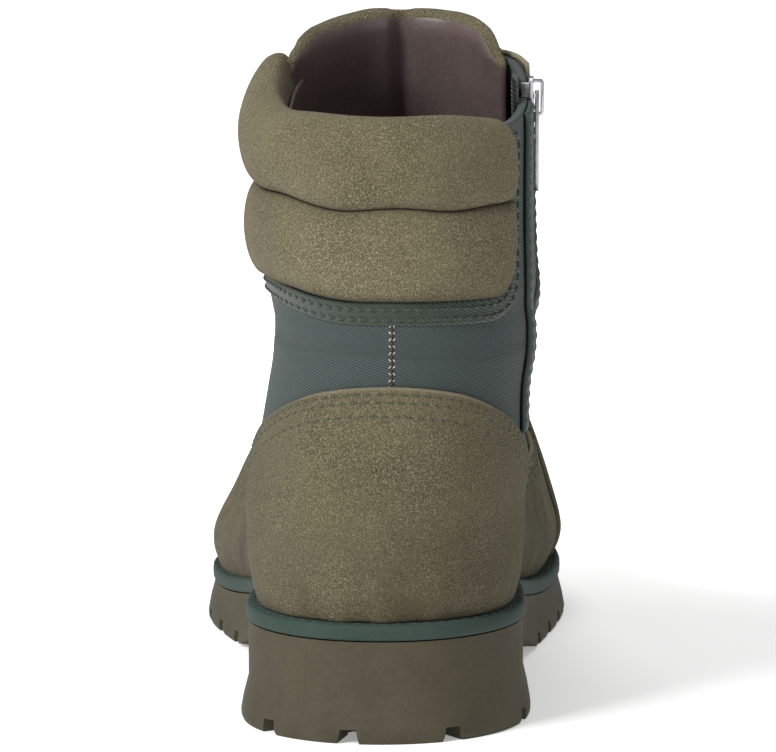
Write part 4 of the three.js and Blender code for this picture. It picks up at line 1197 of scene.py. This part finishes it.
def sole_edge(turn, offset):
    turn = np.asarray(turn, float)
    along = on_last(SOLE_LEVEL, turn + PROBE) - on_last(SOLE_LEVEL, turn - PROBE)
    heading = np.stack([along[..., 1], -along[..., 0]], -1)
    heading = heading / np.linalg.norm(heading, axis=-1, keepdims=True)
    point = on_last(SOLE_LEVEL, turn)
    return point[..., :2] + heading * np.asarray(offset, float)[..., None]


def rim_under(y):
    return feather(y) - RIM_THICKNESS


# Rings of the sole's wall: height, and offset from the edge line. The last ring lies under the rim
SOLE_FOOT = RIM_LEDGE + SOLE_FLARE
SOLE_RINGS = [(-0.001, SOLE_FOOT - 0.0006), (0.0002, SOLE_FOOT - 0.0005), (0.0009, SOLE_FOOT - 0.0001),
              (0.0022, SOLE_FOOT), (0.006, RIM_LEDGE + 0.7 * SOLE_FLARE), (FLARE_HEIGHT, RIM_LEDGE),
              (None, RIM_LEDGE)]


def sole_place(s, t):
    count = len(SOLE_RINGS) + 1
    row = np.rint(t * count).astype(int)
    ring = np.clip(row - 1, 0, len(SOLE_RINGS) - 1)
    offset = np.array([r[1] for r in SOLE_RINGS])[ring]
    flat = sole_edge(2 * math.pi * np.where(s >= 1, 0, s), offset)
    heights = np.array([0.0 if r[0] is None else r[0] for r in SOLE_RINGS])[ring]
    z = np.where(ring == len(SOLE_RINGS) - 1, rim_under(flat[..., 1]) - FIT_GAP, heights)
    point = np.concatenate([flat, z[..., None]], -1)
    middle = np.array([0.004, LAST_LENGTH / 2])
    z_end = np.where(row == 0, SOLE_RINGS[0][0], rim_under(LAST_LENGTH / 2) - FIT_GAP)
    end = np.concatenate([np.broadcast_to(middle, flat.shape), z_end[..., None]], -1)
    return np.where(((row == 0) | (row == count))[..., None], end, point)


outsole = grid_piece("outsole_rubber", 260, len(SOLE_RINGS) + 1, sole_place, rubber)


def cutter_piece(name, bm):
    bmesh.ops.recalc_face_normals(bm, faces=bm.faces)
    bmesh.ops.translate(bm, verts=bm.verts, vec=(0, -TREAD_CENTRE, 0))
    return new_piece(name, bm, rubber)


# What is cut away under the sole, seen from the side: an arch behind the ball and a rise to the toe
arch_foot = (HEEL_BREAST + 0.02 * LAST_LENGTH, 0.6 * ARCH_CLEAR)
arch = [arch_foot, (HEEL_BREAST + 0.06 * LAST_LENGTH, 1.2 * ARCH_CLEAR),
        (FOREFOOT_START - 0.1 * LAST_LENGTH, 0.9 * ARCH_CLEAR), (FOREFOOT_START, 0)]
under = [(-0.05, -0.03), (-0.05, 0), (HEEL_BREAST, 0), arch_foot]
for u in np.arange(1, 15) / 14:
    weights = ((1 - u) ** 3, 3 * u * (1 - u) ** 2, 3 * u * u * (1 - u), u ** 3)
    under.append(tuple(sum(w * point[axis] for w, point in zip(weights, arch)) for axis in (0, 1)))
under.append((TREAD_END, 0))
for u in np.arange(1, 13) / 12:
    y = 2 * u * (1 - u) * mix(TREAD_END, SOLE_TIP, 0.55) + u * u * SOLE_TIP + (1 - u) ** 2 * TREAD_END
    under.append((y, u * u * SOLE_TIP_RISE))
under += [(0.36, SOLE_TIP_RISE), (0.36, -0.03)]
bm = bmesh.new()
outline = bm.faces.new([bm.verts.new((-0.1, y, z)) for y, z in under])
pulled = bmesh.ops.extrude_face_region(bm, geom=[outline])["geom"]
bmesh.ops.translate(bm, verts=[v for v in pulled if isinstance(v, bmesh.types.BMVert)], vec=(0.2, 0, 0))
under_cutter = cutter_piece("under", bm)


def tread_rise(y):
    return np.where(y > TREAD_END, SOLE_TIP_RISE * ((y - TREAD_END) / (SOLE_TIP - TREAD_END)) ** 2, 0.0)


bm = bmesh.new()
slot_turns = [-0.8, -0.43, -0.09, 0.28, 0.68]
for share in (0.54, 0.61, 0.68, 0.75, 0.82, 0.9):
    slot_turns += [math.acos(1 - 2 * share), -math.acos(1 - 2 * share)]
for turn in slot_turns:
    edge, outer = sole_edge(turn, 0.0), sole_edge(turn, 0.001)
    heading = math.atan2(outer[1] - edge[1], outer[0] - edge[0])
    made = bmesh.ops.create_cube(bm, size=1)["verts"]
    for vert in made:
        wide = 1.25 if vert.co.z < 0 else 0.72
        vert.co = Vector((vert.co.x * 2 * LUG_REACH, vert.co.y * LUG_GAP * wide, vert.co.z * 2 * LUG_DEPTH))
    seat = Matrix.Translation((edge[0], edge[1], float(tread_rise(edge[1]))))
    bmesh.ops.transform(bm, matrix=seat @ Matrix.Rotation(heading, 4, "Z"), verts=made)
slot_cutter = cutter_piece("slots", bm)
bm = bmesh.new()
for place, half in ((0.035, 0.17), (0.19, 0.24), (0.59, 0.3), (0.66, 0.32), (0.78, 0.32), (0.86, 0.25)):
    y = place * LAST_LENGTH
    basis = Matrix.Diagonal((2 * half * BALL_WIDTH, 0.6 * LUG_GAP, 1.2 * LUG_DEPTH, 1))
    basis.translation = (0.04 * BALL_WIDTH * (1 if place > 0.3 else -1), y, float(tread_rise(y)))
    bmesh.ops.create_cube(bm, size=1, matrix=basis)
bar_cutter = cutter_piece("bars", bm)
for cutter in (under_cutter, slot_cutter, bar_cutter):
    cut = outsole.modifiers.new(cutter.name, "BOOLEAN")
    cut.operation, cut.solver, cut.object = "DIFFERENCE", "EXACT", cutter
whole = bpy.data.meshes.new_from_object(outsole.evaluated_get(bpy.context.evaluated_depsgraph_get()))
outsole.modifiers.clear()
outsole.data = whole
whole.shade_smooth()
whole.set_sharp_from_angle(angle=math.radians(28))
for cutter in (under_cutter, slot_cutter, bar_cutter):
    bpy.data.objects.remove(cutter)
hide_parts("outsole")

# Rim: offset from the sole's edge line and height under its top, round the band's section
RIM_SECTION = [(-0.004, -0.0046), (0.0030, -0.0046), (0.0037, -0.0044), (0.0040, -0.0038),
               (0.0041, -0.0022), (0.0040, -0.0009), (0.0037, -0.0003), (0.0032, 0), (0.0026, 0),
               (0.0024, -0.0005), (0.0020, -0.0006), (0.0017, -0.0002), (0.0014, 0), (-0.004, 0),
               (-0.004, -0.0046)]


def rim_place(s, t):
    row = np.rint(t * (len(RIM_SECTION) - 1)).astype(int)
    offset, drop = np.array(RIM_SECTION)[row, 0], np.array(RIM_SECTION)[row, 1]
    flat = sole_edge(2 * math.pi * np.where(s >= 1, 0, s), offset)
    return np.concatenate([flat, (feather(flat[..., 1]) + drop)[..., None]], -1)


rim = grid_piece("rim_band", 300, len(RIM_SECTION) - 1, rim_place, green_rubber, sharp=60)
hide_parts("rim")
turns = np.linspace(0, 2 * math.pi, 600)
flat = sole_edge(turns, 0.0022)
ring = np.concatenate([flat, (feather(flat[:, 1]) - 0.0003)[:, None]], -1)
stitches("rim_stitches", [(ring, np.tile([0.0, 0.0, 1.0], (600, 1)))], thread, pitch=0.0042,
         length=0.0030, radius=0.00055)

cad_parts["insole"].material_slots[0].material = lining

# Floor and light
floor_mesh = bpy.data.meshes.new("floor")
bm = bmesh.new()
bmesh.ops.create_grid(bm, x_segments=1, y_segments=1, size=30)
bm.to_mesh(floor_mesh)
bm.free()
floor = bpy.data.objects.new("floor", floor_mesh)
bpy.context.collection.objects.link(floor)
floor_material, _, floor_shader = surface("floor", 0.9, specular=0.1)
floor_shader.inputs["Base Color"].default_value = (0.88, 0.88, 0.88, 1)
floor_shader.inputs["Emission Color"].default_value = (1, 1, 1, 1)
floor_tree = floor_material.node_tree
floor_place = add(floor_tree, "TexCoord").outputs["Object"]
floor_far = add(floor_tree, "VectorMath", {0: floor_place}, operation="LENGTH").outputs["Value"]
floor_glow = spread(floor_tree, floor_far, 0.2, 0.7, 0.3, 1.1)
floor_tree.links.new(floor_glow, floor_shader.inputs["Emission Strength"])
floor_mesh.materials.append(floor_material)


def area_light(name, place, size, power, aim=(0, 0, 0.1)):
    data = bpy.data.lights.new(name, "AREA")
    data.size, data.energy = size, power
    lamp = bpy.data.objects.new(name, data)
    bpy.context.collection.objects.link(lamp)
    lamp.location = place
    lamp.rotation_euler = (Vector(aim) - Vector(place)).to_track_quat("-Z", "Y").to_euler()


area_light("key", (-0.9, -0.9, 1.1), 0.6, 27)
area_light("fill", (0.9, -1.1, 0.7), 1.0, 2)
area_light("top", (0.0, 0.3, 1.7), 1.2, 14)
world = bpy.data.worlds.new("studio")
world.use_nodes = True
world.node_tree.nodes["Background"].inputs["Color"].default_value = (1, 1, 1, 1)
world.node_tree.nodes["Background"].inputs["Strength"].default_value = 0.22
bpy.context.scene.world = world
bpy.context.scene.view_settings.view_transform = "Standard"
